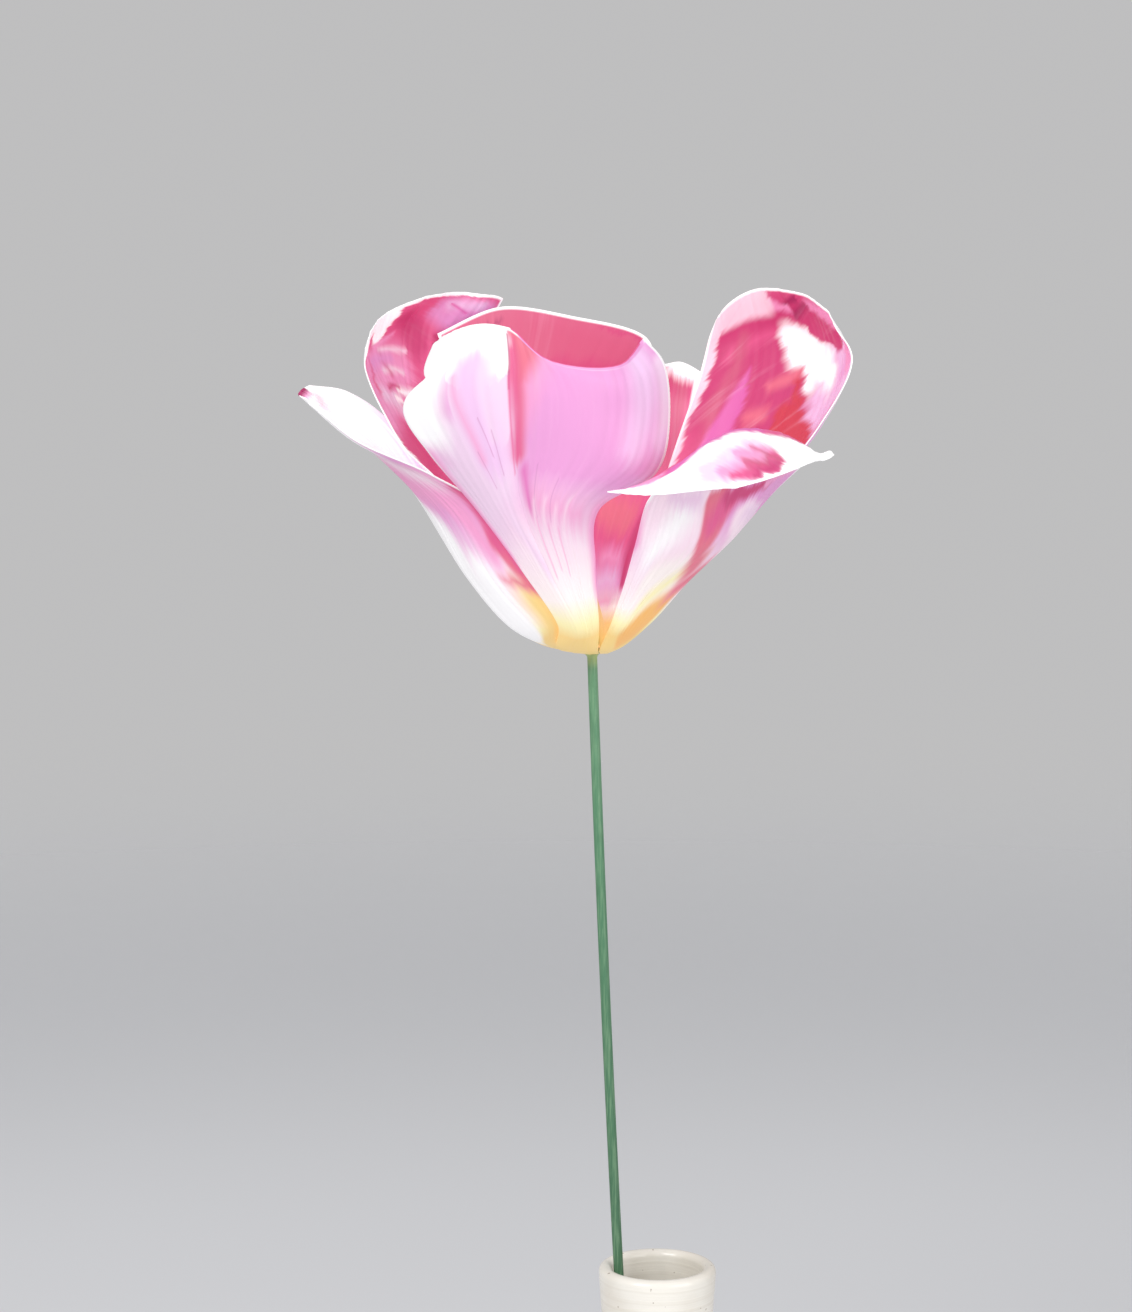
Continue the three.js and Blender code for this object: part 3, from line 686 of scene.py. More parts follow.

# %% [markdown]
# The flap of the right front petal shows its inner face, white with a rose patch and a touch of painted
# shade beside it. Below it the outer face is cream and blush, whiter on the left half in part as a
# painted highlight, apricot at the claw, salmon beyond the fold as painted shade, and rose where it
# turns under the flap, which is the flap's painted shadow.

# %% Strokes on the right front petal
STROKES["right_front"] = {
    "grain": (0, 60),
    "streaky": (0.05, 0.06),
    "outside": [
        ("blush", (0.05, 0.6), (0.4, 0.58), 0.12, 0.12, 0.1),
        # painted highlight in part: the left half of the outer face is whiter where it faces the lamp
        ("white", (0.16, 0.48), (0.34, 0.6), 0.04, 0.05, 0.12),
        ("mist", (0.2, 0.64), (0.4, 0.62), 0.02, 0.03, 0.06),
        ("pink", (0, 0.62), (0, 0.5), 0.015, 0.02, 0.04),
        ("apricot", (0.45, 0.18), (0.65, 0.25), 0.06, 0.09, 0.1),
        ("apricot", (0.6, 0.28), (0.74, 0.3), 0.06, 0.06, 0.08),
        # painted shade on the right half, beyond the fold
        ("salmon", (0.72, 0.37), (0.92, 0.44), 0.04, 0.08, 0.08),
        ("cream", (0.3, 0.4), (0.5, 0.42), 0.06, 0.06, 0.08),
        ("butter", (0.45, 0.33), (0.6, 0.42), 0.04, 0.03, 0.1),
        ("blush", (0.72, 0.56), (0.86, 0.5), 0.045, 0.07, 0.04),
        ("mist", (0.74, 0.57), (0.84, 0.56), 0.02, 0.03, 0.05),
        # painted shade right of the fold, then the flap's painted shadow in deep rose and pink under it
        ("salmon", (0.53, 0.51), (0.54, 0.6), 0.045, 0.055, 0.03),
        ("salmon", (0.55, 0.47), (0.66, 0.42), 0.03, 0.03, 0.05),
        ("rose", (0.53, 0.55), (0.6, 0.61), 0.03, 0.035, 0.05),
        ("deep_rose", (0.6, 0.62), (0.8, 0.65), 0.025, 0.012, 0.03),
        ("pink", (0.78, 0.65), (0.94, 0.69), 0.012, 0.012, 0.02),
        ("blush", (0, 0.85), (1, 0.85), 0.15, 0.15, 0.06),
        ("white", (0, 0.685), (0.55, 0.675), 0.012, 0.01, 0.012),
    ],
    "inside": [
        ("magenta", (0.3, 0.86), (0.65, 0.87), 0.04, 0.03, 0.05),
        ("white", (0, 0.975), (1, 0.985), 0.085, 0.085, 0.02),
        ("pink", (0.03, 0.9), (0.18, 0.87), 0.03, 0.03, 0.04),
        # painted shade beside the rose patch on the flap
        ("mist", (0.4, 0.96), (0.64, 0.95), 0.026, 0.034, 0.03),
        ("pink", (0.46, 0.97), (0.7, 0.962), 0.014, 0.028, 0.025),
        ("rose", (0.5, 0.978), (0.73, 0.97), 0.008, 0.024, 0.02),
        ("dusty", (0.56, 0.96), (0.68, 0.96), 0.006, 0.014, 0.02),
        ("deep_rose", (0.58, 0.982), (0.74, 0.978), 0.003, 0.01, 0.02),
        ("pink", (0.55, 0.944), (0.68, 0.95), 0.01, 0.012, 0.02),
        ("dusty", (0.62, 0.937), (0.75, 0.966), 0.001, 0.005, 0.014),
        ("white", (0.4, 1), (0.8, 0.998), 0.006, 0.006, 0.006),
    ],
    "rim": [],
}

# %% [markdown]
# The right back petal is the most colourful: deep rose, with a broad white patch that is a painted
# highlight, crimson below it that is partly its own colour and partly painted shade, a magenta streak,
# a dark mark near the top and a blush margin. Its streaks run aslant, so its grain is turned.

# %% Strokes on the right back petal
STROKES["right_back"] = {
    "grain": (0, -60),
    "streaky": (0.06, 0.12),
    "outside": [
        ("lavender", (0.12, 0.9), (0.2, 0.6), 0.1, 0.05, 0.12),
        ("white", (0.04, 0.98), (0.08, 0.75), 0.06, 0.03, 0.08),
        ("pink", (0.5, 0.62), (0.52, 0.95), 0.05, 0.02, 0.15),
        ("rose", (0.5, 0.68), (0.5, 0.9), 0.002, 0.001, 0.05),
        ("lavender", (0.9, 0.95), (0.86, 0.6), 0.08, 0.05, 0.12),
    ],
    "inside": [
        ("deep_rose", (0.35, 0.78), (0.82, 0.78), 0.22, 0.18, 0.1),
        ("rose", (0.62, 0.87), (0.86, 0.82), 0.008, 0.02, 0.05),
        ("dusty", (0.8, 0.86), (0.88, 0.68), 0.02, 0.02, 0.05),
        ("lavender", (0.05, 0.88), (0.25, 0.75), 0.1, 0.09, 0.08),
        # painted highlight: the broad white patch
        ("white", (0.25, 0.8), (0.5, 0.83), 0.045, 0.06, 0.05),
        ("white", (0.4, 0.76), (0.54, 0.86), 0.03, 0.045, 0.04),
        ("deep_rose", (0.19, 0.91), (0.385, 0.91), 0.06, 0.05, 0.014),
        ("pink", (0.1, 0.97), (0.32, 0.965), 0.03, 0.02, 0.04),
        ("wine", (0.36, 0.965), (0.47, 0.925), 0.009, 0.012, 0.025),
        ("wine", (0.42, 0.975), (0.5, 0.955), 0.01, 0.006, 0.02),
        ("pink", (0.5, 0.94), (0.6, 0.96), 0.01, 0.02, 0.03),
        ("deep_rose", (0.5, 0.72), (0.68, 0.7), 0.05, 0.05, 0.04),
        # salmon and crimson: partly the petal's own colour and partly painted shade
        ("salmon", (0.5, 0.77), (0.64, 0.73), 0.016, 0.012, 0.03),
        ("crimson", (0.2, 0.66), (0.5, 0.675), 0.014, 0.036, 0.025),
        ("crimson", (0.42, 0.69), (0.5, 0.75), 0.024, 0.012, 0.03),
        ("salmon", (0.6, 0.68), (0.7, 0.67), 0.012, 0.012, 0.03),
        ("blush", (0.64, 0.965), (0.98, 0.965), 0.045, 0.06, 0.035),
        ("magenta", (0.81, 0.63), (0.75, 0.77), 0.044, 0.004, 0.024),
        ("orchid", (0.05, 0.86), (0.12, 0.8), 0.016, 0.012, 0.06),
        ("blush", (0.985, 0.95), (0.99, 0.6), 0.03, 0.014, 0.02),
        ("pink", (0.04, 0.93), (0.06, 0.84), 0.02, 0.02, 0.03),
    ],
    "rim": [],
}

# %% [markdown]
# The back petal is an even, dusty rose inside, and salmon and orchid lower down, where it shows in
# the slit between the two front petals; the salmon at the top of the slit is painted shade. A white
# edge finishes its corners, painted shade darkens its right shoulder, and thin dark strokes of
# painted shadow lie just under its rim, one of them at a corner.

# %% Strokes on the back petal
STROKES["back"] = {
    "grain": (0, 0),
    "streaky": (0.06, 0.06),
    "outside": [
        ("white", (0.05, 0.95), (0.08, 0.7), 0.08, 0.04, 0.08),
        ("lavender", (0.2, 0.9), (0.24, 0.6), 0.06, 0.04, 0.1),
        ("pink", (0.5, 0.6), (0.5, 0.95), 0.06, 0.03, 0.15),
        ("rose", (0.5, 0.65), (0.5, 0.88), 0.002, 0.001, 0.05),
        ("white", (0.95, 0.95), (0.92, 0.7), 0.08, 0.04, 0.08),
    ],
    "inside": [
        ("dusty", (0.4, 0.88), (0.85, 0.88), 0.16, 0.16, 0.12),
        ("lavender", (0.28, 0.43), (0.42, 0.43), 0.02, 0.02, 0.08),
        ("pink", (0.3, 0.36), (0.46, 0.36), 0.012, 0.012, 0.08),
        ("deep_rose", (0.17, 0.42), (0.2, 0.58), 0.02, 0.03, 0.04),
        # painted shade at the top of the slit
        ("salmon", (0.32, 0.58), (0.45, 0.6), 0.035, 0.035, 0.05),
        ("pink", (0.28, 0.49), (0.4, 0.5), 0.012, 0.012, 0.06),
        # painted shade on the right shoulder
        ("dusty", (0.18, 0.9), (0.2, 0.72), 0.045, 0.04, 0.06),
        ("deep_rose", (0.2, 0.88), (0.21, 0.74), 0.02, 0.02, 0.08),
        ("pink", (0.05, 0.88), (0.08, 0.8), 0.01, 0.01, 0.04),
        ("white", (0.05, 0.99), (0.2, 0.99), 0.06, 0.05, 0.06),
        ("white", (0.07, 0.95), (0.08, 0.82), 0.012, 0.008, 0.01),
        # painted shadow: a thin dark stroke just under the rim
        ("deep_rose", (0.4, 0.985), (0.6, 0.985), 0.006, 0.003, 0.02),
        ("deep_rose", (0.5, 0.9), (0.76, 0.9), 0.008, 0.008, 0.05),
        # painted shadow under the rim at the corner
        ("wine", (0.84, 0.972), (0.98, 0.97), 0.002, 0.012, 0.02),
    ],
    "rim": [],
}

# %% [markdown]
# The left back petal is deep rose inside, orchid to the right and mottled with white and pale pink
# flecks to the left, and its upper left edge is white, as a painted highlight. Its flecks lie across
# its length, so its grain is turned too.

# %% Strokes on the left back petal
STROKES["left_back"] = {
    "grain": (0, 68),
    "streaky": (0.06, 0.08),
    "outside": [
        ("lavender", (0.12, 0.9), (0.2, 0.6), 0.1, 0.05, 0.12),
        ("pink", (0.5, 0.62), (0.48, 0.95), 0.05, 0.02, 0.15),
        ("rose", (0.5, 0.68), (0.5, 0.88), 0.002, 0.001, 0.05),
        ("white", (0.96, 0.56), (0.96, 0.98), 0.06, 0.08, 0.05),
    ],
    "inside": [
        ("orchid", (0.1, 0.88), (0.33, 0.93), 0.09, 0.05, 0.06),
        ("lavender", (0.12, 0.95), (0.3, 0.95), 0.02, 0.02, 0.04),
        ("pink", (0.55, 0.76), (0.92, 0.78), 0.06, 0.1, 0.08),
        ("deep_rose", (0.56, 0.92), (0.4, 0.82), 0.035, 0.035, 0.05),
        # painted highlight: the white at the upper left edge
        ("white", (0.7, 0.97), (0.73, 0.9), 0.06, 0.04, 0.02),
        ("white", (0.75, 0.99), (1, 0.99), 0.06, 0.05, 0.03),
        ("pink", (0.6, 0.86), (0.75, 0.85), 0.006, 0.012, 0.03),
        ("white", (0.05, 1), (0.62, 1), 0.01, 0.014, 0.01),
        ("white", (0.45, 0.72), (0.64, 0.735), 0.006, 0.01, 0.02),
        ("blush", (0.52, 0.765), (0.75, 0.79), 0.005, 0.008, 0.02),
        ("blush", (0.48, 0.805), (0.72, 0.835), 0.004, 0.006, 0.02),
        ("mist", (0.7, 0.7), (0.9, 0.78), 0.025, 0.03, 0.05),
        ("pink", (0.78, 0.76), (0.9, 0.84), 0.02, 0.03, 0.05),
        ("deep_rose", (0.66, 0.77), (0.72, 0.82), 0.004, 0.008, 0.04),
        ("white", (0.62, 0.71), (0.72, 0.72), 0.006, 0.01, 0.02),
        ("orchid", (0.62, 0.8), (0.85, 0.83), 0.01, 0.02, 0.04),
        ("deep_rose", (0.62, 0.742), (0.76, 0.748), 0.004, 0.006, 0.02),
        ("magenta", (0.18, 0.915), (0.3, 0.95), 0.004, 0.004, 0.015),
        ("wine", (0.26, 0.84), (0.31, 0.82), 0.004, 0.006, 0.01),
        ("pink", (0.88, 0.9), (0.97, 0.72), 0.03, 0.03, 0.06),
        ("rose", (0.86, 0.84), (0.9, 0.78), 0.004, 0.012, 0.04),
        ("white", (1, 0.68), (1, 0.5), 0.012, 0.05, 0.02),
    ],
    "rim": [],
}

# %% [markdown]
# The left front petal is white inside. Its outer face is white too, in part as a painted highlight
# where it faces the lamp, with pink painted shade under the upper margin, rose and salmon painted
# shadow along the gap beside the front petal, and yellow at the claw. The tip has a spot of the
# colour of wine, whose strokes go over the white rim.

# %% Strokes on the left front petal
STROKES["left_front"] = {
    "grain": (0, 0),
    "streaky": (0.04, 0.02),
    "outside": [
        # painted highlight in part: the white where the outer face faces the lamp
        ("white", (0.3, 0.3), (0.3, 0.52), 0.14, 0.14, 0.1),
        ("white", (0.55, 0.26), (0.5, 0.45), 0.12, 0.12, 0.08),
        ("white", (0.7, 0.24), (0.73, 0.43), 0.06, 0.05, 0.06),
        ("yellow", (1, 0.12), (0.97, 0.34), 0.13, 0.09, 0.1),
        # painted shade under the upper margin, pink lightened with blush
        ("pink", (0.5, 0.68), (0.95, 0.66), 0.09, 0.09, 0.1),
        ("pink", (0.8, 0.6), (0.86, 0.48), 0.05, 0.02, 0.06),
        ("blush", (0.5, 0.78), (0.86, 0.7), 0.03, 0.04, 0.12),
        ("white", (0.2, 0.93), (0.8, 0.91), 0.12, 0.12, 0.1),
        # painted shadow of the front petal: salmon and rose along the gap
        ("salmon", (0.97, 0.41), (0.92, 0.5), 0.02, 0.025, 0.03),
        ("salmon", (0.84, 0.43), (0.97, 0.4), 0.004, 0.02, 0.05),
        ("rose", (0.91, 0.5), (0.98, 0.64), 0.02, 0.03, 0.04),
        ("rose", (0.96, 0.45), (0.94, 0.56), 0.012, 0.02, 0.03),
    ],
    "inside": [
        ("white", (0, 0.84), (1, 0.84), 0.36, 0.36, 0.08),
    ],
    "rim": [
        ("blush", (0.3, 0.95), (0.45, 0.93), 0.01, 0.02, 0.06),
        ("pink", (0.35, 0.985), (0.5, 0.985), 0.012, 0.012, 0.03),
        ("wine", (0.3, 1), (0.6, 1), 0.014, 0.014, 0.02),
    ],
}

for name, petal in STROKES.items():
    print(name, "has", sum(len(petal[part]) for part in ("outside", "inside", "rim")), "strokes")

# %% [markdown]
# On the real petal the colour follows the veins, so a patch is never round: its edge is drawn out
# into fine feathers. A noise stretched along the grain gives both the fine streaks and the shift
# that feathers the strokes. A stroke is the distance from a line, turned into a soft mask.

# %% Feathers and strokes
PETAL_ASPECT = 0.7  # a petal's width as a share of its length
STREAKS = (37, 1.6)  # fine streaks: many across the grain, few along it
FEATHER = 0.09  # how far the streaks shift paint along the grain
FEATHER_COMES = (0.2, 0.6)  # the stretch up the petal over which that shift comes in
INNER_SEED = 20  # how far the inner face's streaks are from the outer face's in the noise


def grained(finish, degrees, seed):
    """Fine streaks, and the places of the petal shifted to and fro along them."""
    across, along = finish.kept("across") * PETAL_ASPECT, finish.kept("along")
    sine, cosine = math.sin(math.radians(degrees)), math.cos(math.radians(degrees))
    flat = {
        0: (across * cosine - along * sine) * STREAKS[0],
        1: (across * sine + along * cosine) * STREAKS[1],
        2: float(seed),
    }
    streak = finish.noise(finish.node("ShaderNodeCombineXYZ", None, flat), 1, detail=4, roughness=0.6)
    shift = (streak - 0.5) * FEATHER * along.ramp_to_one(*FEATHER_COMES)
    moved = {0: across + shift * sine, 1: along + shift * cosine}
    return streak, finish.node("ShaderNodeCombineXYZ", None, moved)


def stroke_mask(place, start, end, start_width, end_width, soft):
    """1 along a stroke from start to end, and 0 away from it."""
    start, end = (np.array([spot[0] * PETAL_ASPECT, spot[1], 0]) for spot in (start, end))
    run = end - start
    from_start = place.vector("SUBTRACT", {1: start.tolist()})
    share = from_start.vector("DOT_PRODUCT", {1: (run / (run @ run)).tolist()}, "Value")
    share = share.math("ADD", share, 0, clamp=True)
    nearest = share.finish.node(
        "ShaderNodeVectorMath", {"operation": "SCALE"}, {0: run.tolist(), "Scale": share}
    )
    away = from_start.vector("DISTANCE", {1: nearest}, "Value")
    width = share * (end_width - start_width) + start_width
    return (away - width).ramp_to_one(soft / 2, -soft / 2)


def lay(finish, place, paint, strokes):
    """The paint with strokes over it in their order."""
    for name, *shape in strokes:
        paint = finish.mix(stroke_mask(place, *shape), paint, PAINTS[name])
    return paint


# %% [markdown]
# The two faces of a petal are painted apart, and the value that the mesh keeps for each vertex says
# which of them a spot is on. The white rim goes over both. It could be a narrow mesh of its own, but
# as paint that comes in with the distance from the edge it follows every wave and notch by itself.

# %% The paint of a face and of a whole petal
LIGHT_STREAK, DARK_STREAK = (0.52, 0.72), (0.46, 0.3)  # where in the noise each kind comes in
FACES_MEET = (0.4, 0.6)  # where on the edge the outer face's paint gives way to the inner one's
RIM_WIDTH = (0.9, 0.3)  # distances from the edge where the white rim begins and where it is full
RIM_COMES = (0.5, 0.72)  # the stretch up the petal over which the white rim comes in


def painted(finish, streak, place, ground, strokes, streaky):
    """The colour of one face: its ground, the strokes, and lighter and darker streaks."""
    along = finish.node("ShaderNodeSeparateXYZ", None, {0: place}, output=1)
    stops = [(height, PAINTS[paint]) for height, paint in ground]
    paint = finish.node("ShaderNodeValToRGB", {"stops": stops}, {"Fac": along}, output="Color")
    paint = lay(finish, place, paint, strokes)
    paint = finish.mix(streak.ramp_to_one(*LIGHT_STREAK) * streaky, paint, PAINTS["blush"])
    return finish.mix(streak.ramp_to_one(*DARK_STREAK) * streaky, paint, SHADE, "MULTIPLY")


def petal_paint(finish, strokes, seed):
    """The colour all over a petal, and the streaks of its outer face."""
    streak, place = grained(finish, strokes["grain"][0], seed)
    inner_streak, inner_place = grained(finish, strokes["grain"][1], seed + INNER_SEED)
    streaky = strokes["streaky"]
    outside = painted(finish, streak, place, OUTSIDE, strokes["outside"], streaky[0])
    inside = painted(finish, inner_streak, inner_place, INSIDE, strokes["inside"], streaky[1])
    paint = finish.mix(finish.kept("inside").ramp_to_one(*FACES_MEET), outside, inside)
    rim = finish.kept("rim").ramp_to_one(*RIM_WIDTH) * finish.kept("along").ramp_to_one(*RIM_COMES)
    paint = finish.mix(rim, paint, PAINTS["white"])
    flat = {0: finish.kept("across") * PETAL_ASPECT, 1: finish.kept("along")}
    flat_place = finish.node("ShaderNodeCombineXYZ", None, flat)
    return lay(finish, flat_place, paint, strokes["rim"]), streak


# %% [markdown]
# A petal is so thin that light passes through it, and it looks bright even where no lamp reaches
# it. A Translucent shader would carry that light, but it needs a second shader mixed in, and it is
# weak deep in the cup, where light has to pass many petals. So the petal gives off a small share of
# its own colour instead, as painted light that lifts its shade: more low down, where the cup is
# darkest, more inside than outside, and more in the inner face's white, as a painted highlight.

# %% Dress the petals
# Painted light: the glow stands in for light through the petal and lifts its shade in the cup.
GLOW = (0.04, 0.1)  # share of its colour that a petal gives off, outside and inside
DEEP_GLOW = (0.13, 0.3)  # what is added low down, outside and inside
DEEP_COMES = (0.62, 0.25)  # the stretch down the petal over which that comes in
WHITE_GLOW = 0.16  # what is added in the white of the inner face
WHITE_GREEN = (0.75, 1)  # how much green a paint holds as it turns to white
SKIN_ROUGH, SKIN_ROUGHER = 0.35, 0.2  # the skin's roughness, and what the streaks add to it
SKIN_BUMP = {"Strength": 0.05, "Distance": 0.0002}


def petal_glow(finish, paint):
    """Painted light that a petal gives off to lift its shade: a share of its paint."""
    inside = finish.kept("inside")
    deep = inside * (DEEP_GLOW[1] - DEEP_GLOW[0]) + DEEP_GLOW[0]
    glow = inside * (GLOW[1] - GLOW[0]) + GLOW[0]
    glow = finish.kept("along").ramp_to_one(*DEEP_COMES) * deep + glow
    green = finish.node("ShaderNodeSeparateColor", None, {0: paint}, output="Green")
    glow = green.ramp_to_one(*WHITE_GREEN) * inside * WHITE_GLOW + glow
    return paint.vector("SCALE", {"Scale": glow})


for seed, name in enumerate(PETALS):
    skin = Finish(name + "_petal_skin")
    paint, streak = petal_paint(skin, STROKES[name], seed)
    bump = skin.node("ShaderNodeBump", None, {**SKIN_BUMP, "Height": streak})
    skin.wear(
        petals[name],
        Base_Color=paint,
        Roughness=streak * SKIN_ROUGHER + SKIN_ROUGH,
        Normal=bump,
        Emission_Color=petal_glow(skin, paint),
        Emission_Strength=1.0,
    )

# %% [markdown]
# The stem, the pistil and the stamens are round bodies that follow a line and swell and narrow on
# their way. A curve object with a bevel could do that, but its section stays a plain circle. So one
# helper lays rings of points along a line, at a radius that may differ all the way round, and
# another joins rings into a closed body. The vase and the water are turned forms made of rings too.

# %% Rings that make a body
def rings_along(line, radii):
    """Rings square to a line of points, at radii given for each point and each step round."""
    along = np.gradient(line, axis=0)
    along /= np.linalg.norm(along, axis=1, keepdims=True)
    side = np.array([1, 0, 0]) - along[:, :1] * along
    side /= np.linalg.norm(side, axis=1, keepdims=True)
    other = np.cross(along, side)
    turn = turn_steps(radii.shape[1])
    return line[:, None] + radii[..., None] * (
        np.cos(turn)[:, None] * side[:, None] + np.sin(turn)[:, None] * other[:, None]
    )


def turn_steps(sides):
    """Even angles all the way round."""
    return np.linspace(0, 2 * math.pi, sides, endpoint=False)


def turned(radii, heights, sides):
    """Rings round the upright axis, one for each radius and height."""
    turn = turn_steps(sides)
    radii, heights = np.asarray(radii)[:, None], np.asarray(heights)[:, None]
    return np.stack(np.broadcast_arrays(radii * np.cos(turn), radii * np.sin(turn), heights), -1)


def add_rings(name, rings):
    """A closed body through rings of points in metres, which go round to the left and upwards."""
    count, sides = rings.shape[:2]
    index = np.arange(count * sides).reshape(count, sides)
    around = np.roll(index, -1, 1)
    quads = np.stack([index[:-1], around[:-1], around[1:], index[1:]], -1).reshape(-1, 4)
    first_end, last_end = index[0, ::-1].tolist(), index[-1].tolist()
    return add_mesh(name, rings.reshape(-1, 3), [*quads.tolist(), first_end, last_end])


def evenly(values, t):
    """A smooth curve through evenly spaced numbers, read at t from 0 to 1."""
    return through(np.array(values, float)[:, None], t, even=True)[:, 0]


# %% [markdown]
# The stem is slender, a little more than two millimetres thick, and bends slightly to the side as
# it goes down. It widens at the top into the disc that carries the petals. Five shallow ribs run
# down it, and its skin is a waxy grey green, darker towards the water.

# %% Make the stem
STEM_RADIUS = 1.1
STEM_FLARE = 1.8  # length of the widened end
STEM_RINGS, STEM_SIDES = 260, 40
RING_CROWDING = 1.6  # above 1, the rings stand closer together towards the top
STEM_RIBS, RIB_HEIGHT = 5, 0.02

stem_length = (foot_height - stem_low[2]) / MM
disc_rise, disc_radius = DISC_RISE / MM, DISC_RADIUS / MM
down = (stem_length + disc_rise) * np.linspace(1, 0, STEM_RINGS) ** RING_CROWDING - disc_rise
stem_line = np.stack([STEM_LEAN * down + STEM_BEND * down**2, down * 0, -down], 1)
flare = np.maximum(0, 1 - (down + disc_rise) / STEM_FLARE)
ribs = 1 + RIB_HEIGHT * np.cos(STEM_RIBS * turn_steps(STEM_SIDES))
stem_radii = (STEM_RADIUS + (disc_radius - STEM_RADIUS) * flare**2)[:, None] * ribs
stem = add_rings("flower_stem", bloom_foot + rings_along(stem_line, stem_radii) * MM)
keep_values(stem, down=np.repeat(down / stem_length, STEM_SIDES))
dress(stem, "stem")

# %% [markdown]
# A stem's skin is smooth, with a thin coat of wax. One green would look like plastic. A real stem is
# paler where it meets the bloom, has fine fibres along its length, and is blotched where the wax is
# thin. A ramp down the stem gives the first, and two noises drawn out along it give the others.

# %% Give the stem its waxy skin
# How far down the stem, and the green there
LEAF_GREENS = [
    (0, colour(176, 190, 120)),
    (0.012, colour(98, 144, 108)),
    (0.1, colour(82, 132, 98)),
    (0.45, colour(62, 106, 76)),
    (1, colour(80, 118, 78)),
]
FIBRE_SCALE, PATCH_SCALE = 2600, 420
FIBRE_DRAWN, PATCH_DRAWN = (1, 1, 0.06), (1, 1, 0.3)  # a small last number draws a noise out upwards
FIBRES_COME, PATCHES_COME = (0.4, 0.75), (0.5, 0.7)  # where in its noise each comes in
FIBRE_GREEN, PATCH_GREEN = colour(150, 184, 146), colour(58, 102, 72)
FIBRE_SHARE, PATCH_SHARE = 0.35, 0.3  # how strong its green is there
STEM_ROUGH, STEM_ROUGHER = 0.38, 0.2  # the skin's roughness, and what the fibres add to it
STEM_BUMP = {"Strength": 0.3, "Distance": 0.0001}

skin = Finish("stem_skin")
place = skin.node("ShaderNodeTexCoord", output="Object")
fibres = skin.noise(place.vector("MULTIPLY", {1: FIBRE_DRAWN}), FIBRE_SCALE, detail=3)
patches = skin.noise(place.vector("MULTIPLY", {1: PATCH_DRAWN}), PATCH_SCALE, detail=2)
green = skin.node("ShaderNodeValToRGB", {"stops": LEAF_GREENS}, {"Fac": skin.kept("down")}, "Color")
green = skin.mix(fibres.ramp_to_one(*FIBRES_COME) * FIBRE_SHARE, green, FIBRE_GREEN)
green = skin.mix(patches.ramp_to_one(*PATCHES_COME) * PATCH_SHARE, green, PATCH_GREEN)
bump = skin.node("ShaderNodeBump", None, {**STEM_BUMP, "Height": fibres})
skin.wear(stem, Base_Color=green, Roughness=fibres * STEM_ROUGHER + STEM_ROUGH, Normal=bump)

# %% [markdown]
# In the middle of the bloom stands the pistil, a green three-sided ovary under a stigma of three
# frilled yellow lobes. It leans with the bloom. The lobes come from a wave three times round, and
# finer waves on top of it make their velvety folds. It could be sculpted, but it is small and
# stands deep in the cup, where waves on its rings are enough.

# %% Make the pistil
BLOOM_LEAN = -0.32
ORGAN_FOOT = 1.6
PISTIL_LENGTH = 25
PISTIL_OUTLINE = [1.5, 2.7, 3, 2.9, 2.7, 2.3, 3.1, 1]  # radii at even steps up
PISTIL_RINGS, PISTIL_SIDES = 110, 96
STIGMA_FROM = 0.8
LOBES, OVARY_LOBE, STIGMA_LOBE = 3, 0.1, 0.2  # number and depth, and what the stigma adds to it
FRILL, FRILLS_ROUND = 0.035, 24  # depth of the frills and their number all the way round
FRILL_SWAY, FRILL_ROWS = 9, 14  # how far they sway sideways on the way up, and how often
COMES_BELOW, COMES_ABOVE = 0.03, 0.06  # how softly a swelling begins, before and after its place


def leaning(rise):
    """The middle line of the bloom, rise millimetres up."""
    return np.stack([BLOOM_LEAN * rise, rise * 0, ORGAN_FOOT + rise], 1)


def beyond(place, t):
    """0 below a place on the line and 1 above it, one row for each ring."""
    return smoothstep(t, place - COMES_BELOW, place + COMES_ABOVE)[:, None]


t, turn = np.linspace(0, 1, PISTIL_RINGS), turn_steps(PISTIL_SIDES)
stigma = beyond(STIGMA_FROM, t)
lobes = (OVARY_LOBE + STIGMA_LOBE * stigma) * np.cos(LOBES * turn)
sway = FRILL_SWAY * np.sin(FRILL_ROWS * t)[:, None]
frills = FRILL * stigma * np.sin(FRILLS_ROUND * turn + sway)
pistil_radii = evenly(PISTIL_OUTLINE, t)[:, None] * (1 + lobes + frills)
pistil_rings = rings_along(leaning(PISTIL_LENGTH * t), pistil_radii)
pistil = add_rings("flower_pistil", bloom_foot + pistil_rings * MM)
keep_values(pistil, rise=np.repeat(t, PISTIL_SIDES))
dress(pistil, "pistil")

# %% [markdown]
# The ovary is green and paler at both ends, and the stigma is yellow and velvety. One ramp up the
# pistil gives both colours. A fine speckle lightens them, and the same speckle raises the surface a
# little, so that light doesn't glide over it as over something polished.

# %% Give the pistil its flesh
# How far up the pistil, and the colour there
OVARY = [(0, colour(214, 216, 130)), (0.4, colour(168, 190, 96)), (0.75, colour(196, 204, 120)),
         (0.84, colour(238, 222, 150)), (1, colour(250, 236, 178))]
SPECKLE_SCALE, SPECKLE_GREEN = 1800, colour(222, 224, 160)
SPECKLE_COMES, SPECKLE_SHARE = (0.45, 0.7), 0.3  # where in its noise it comes in, and how strongly
PISTIL_BUMP = {"Strength": 0.4, "Distance": 0.00015}
PISTIL_ROUGH = 0.55

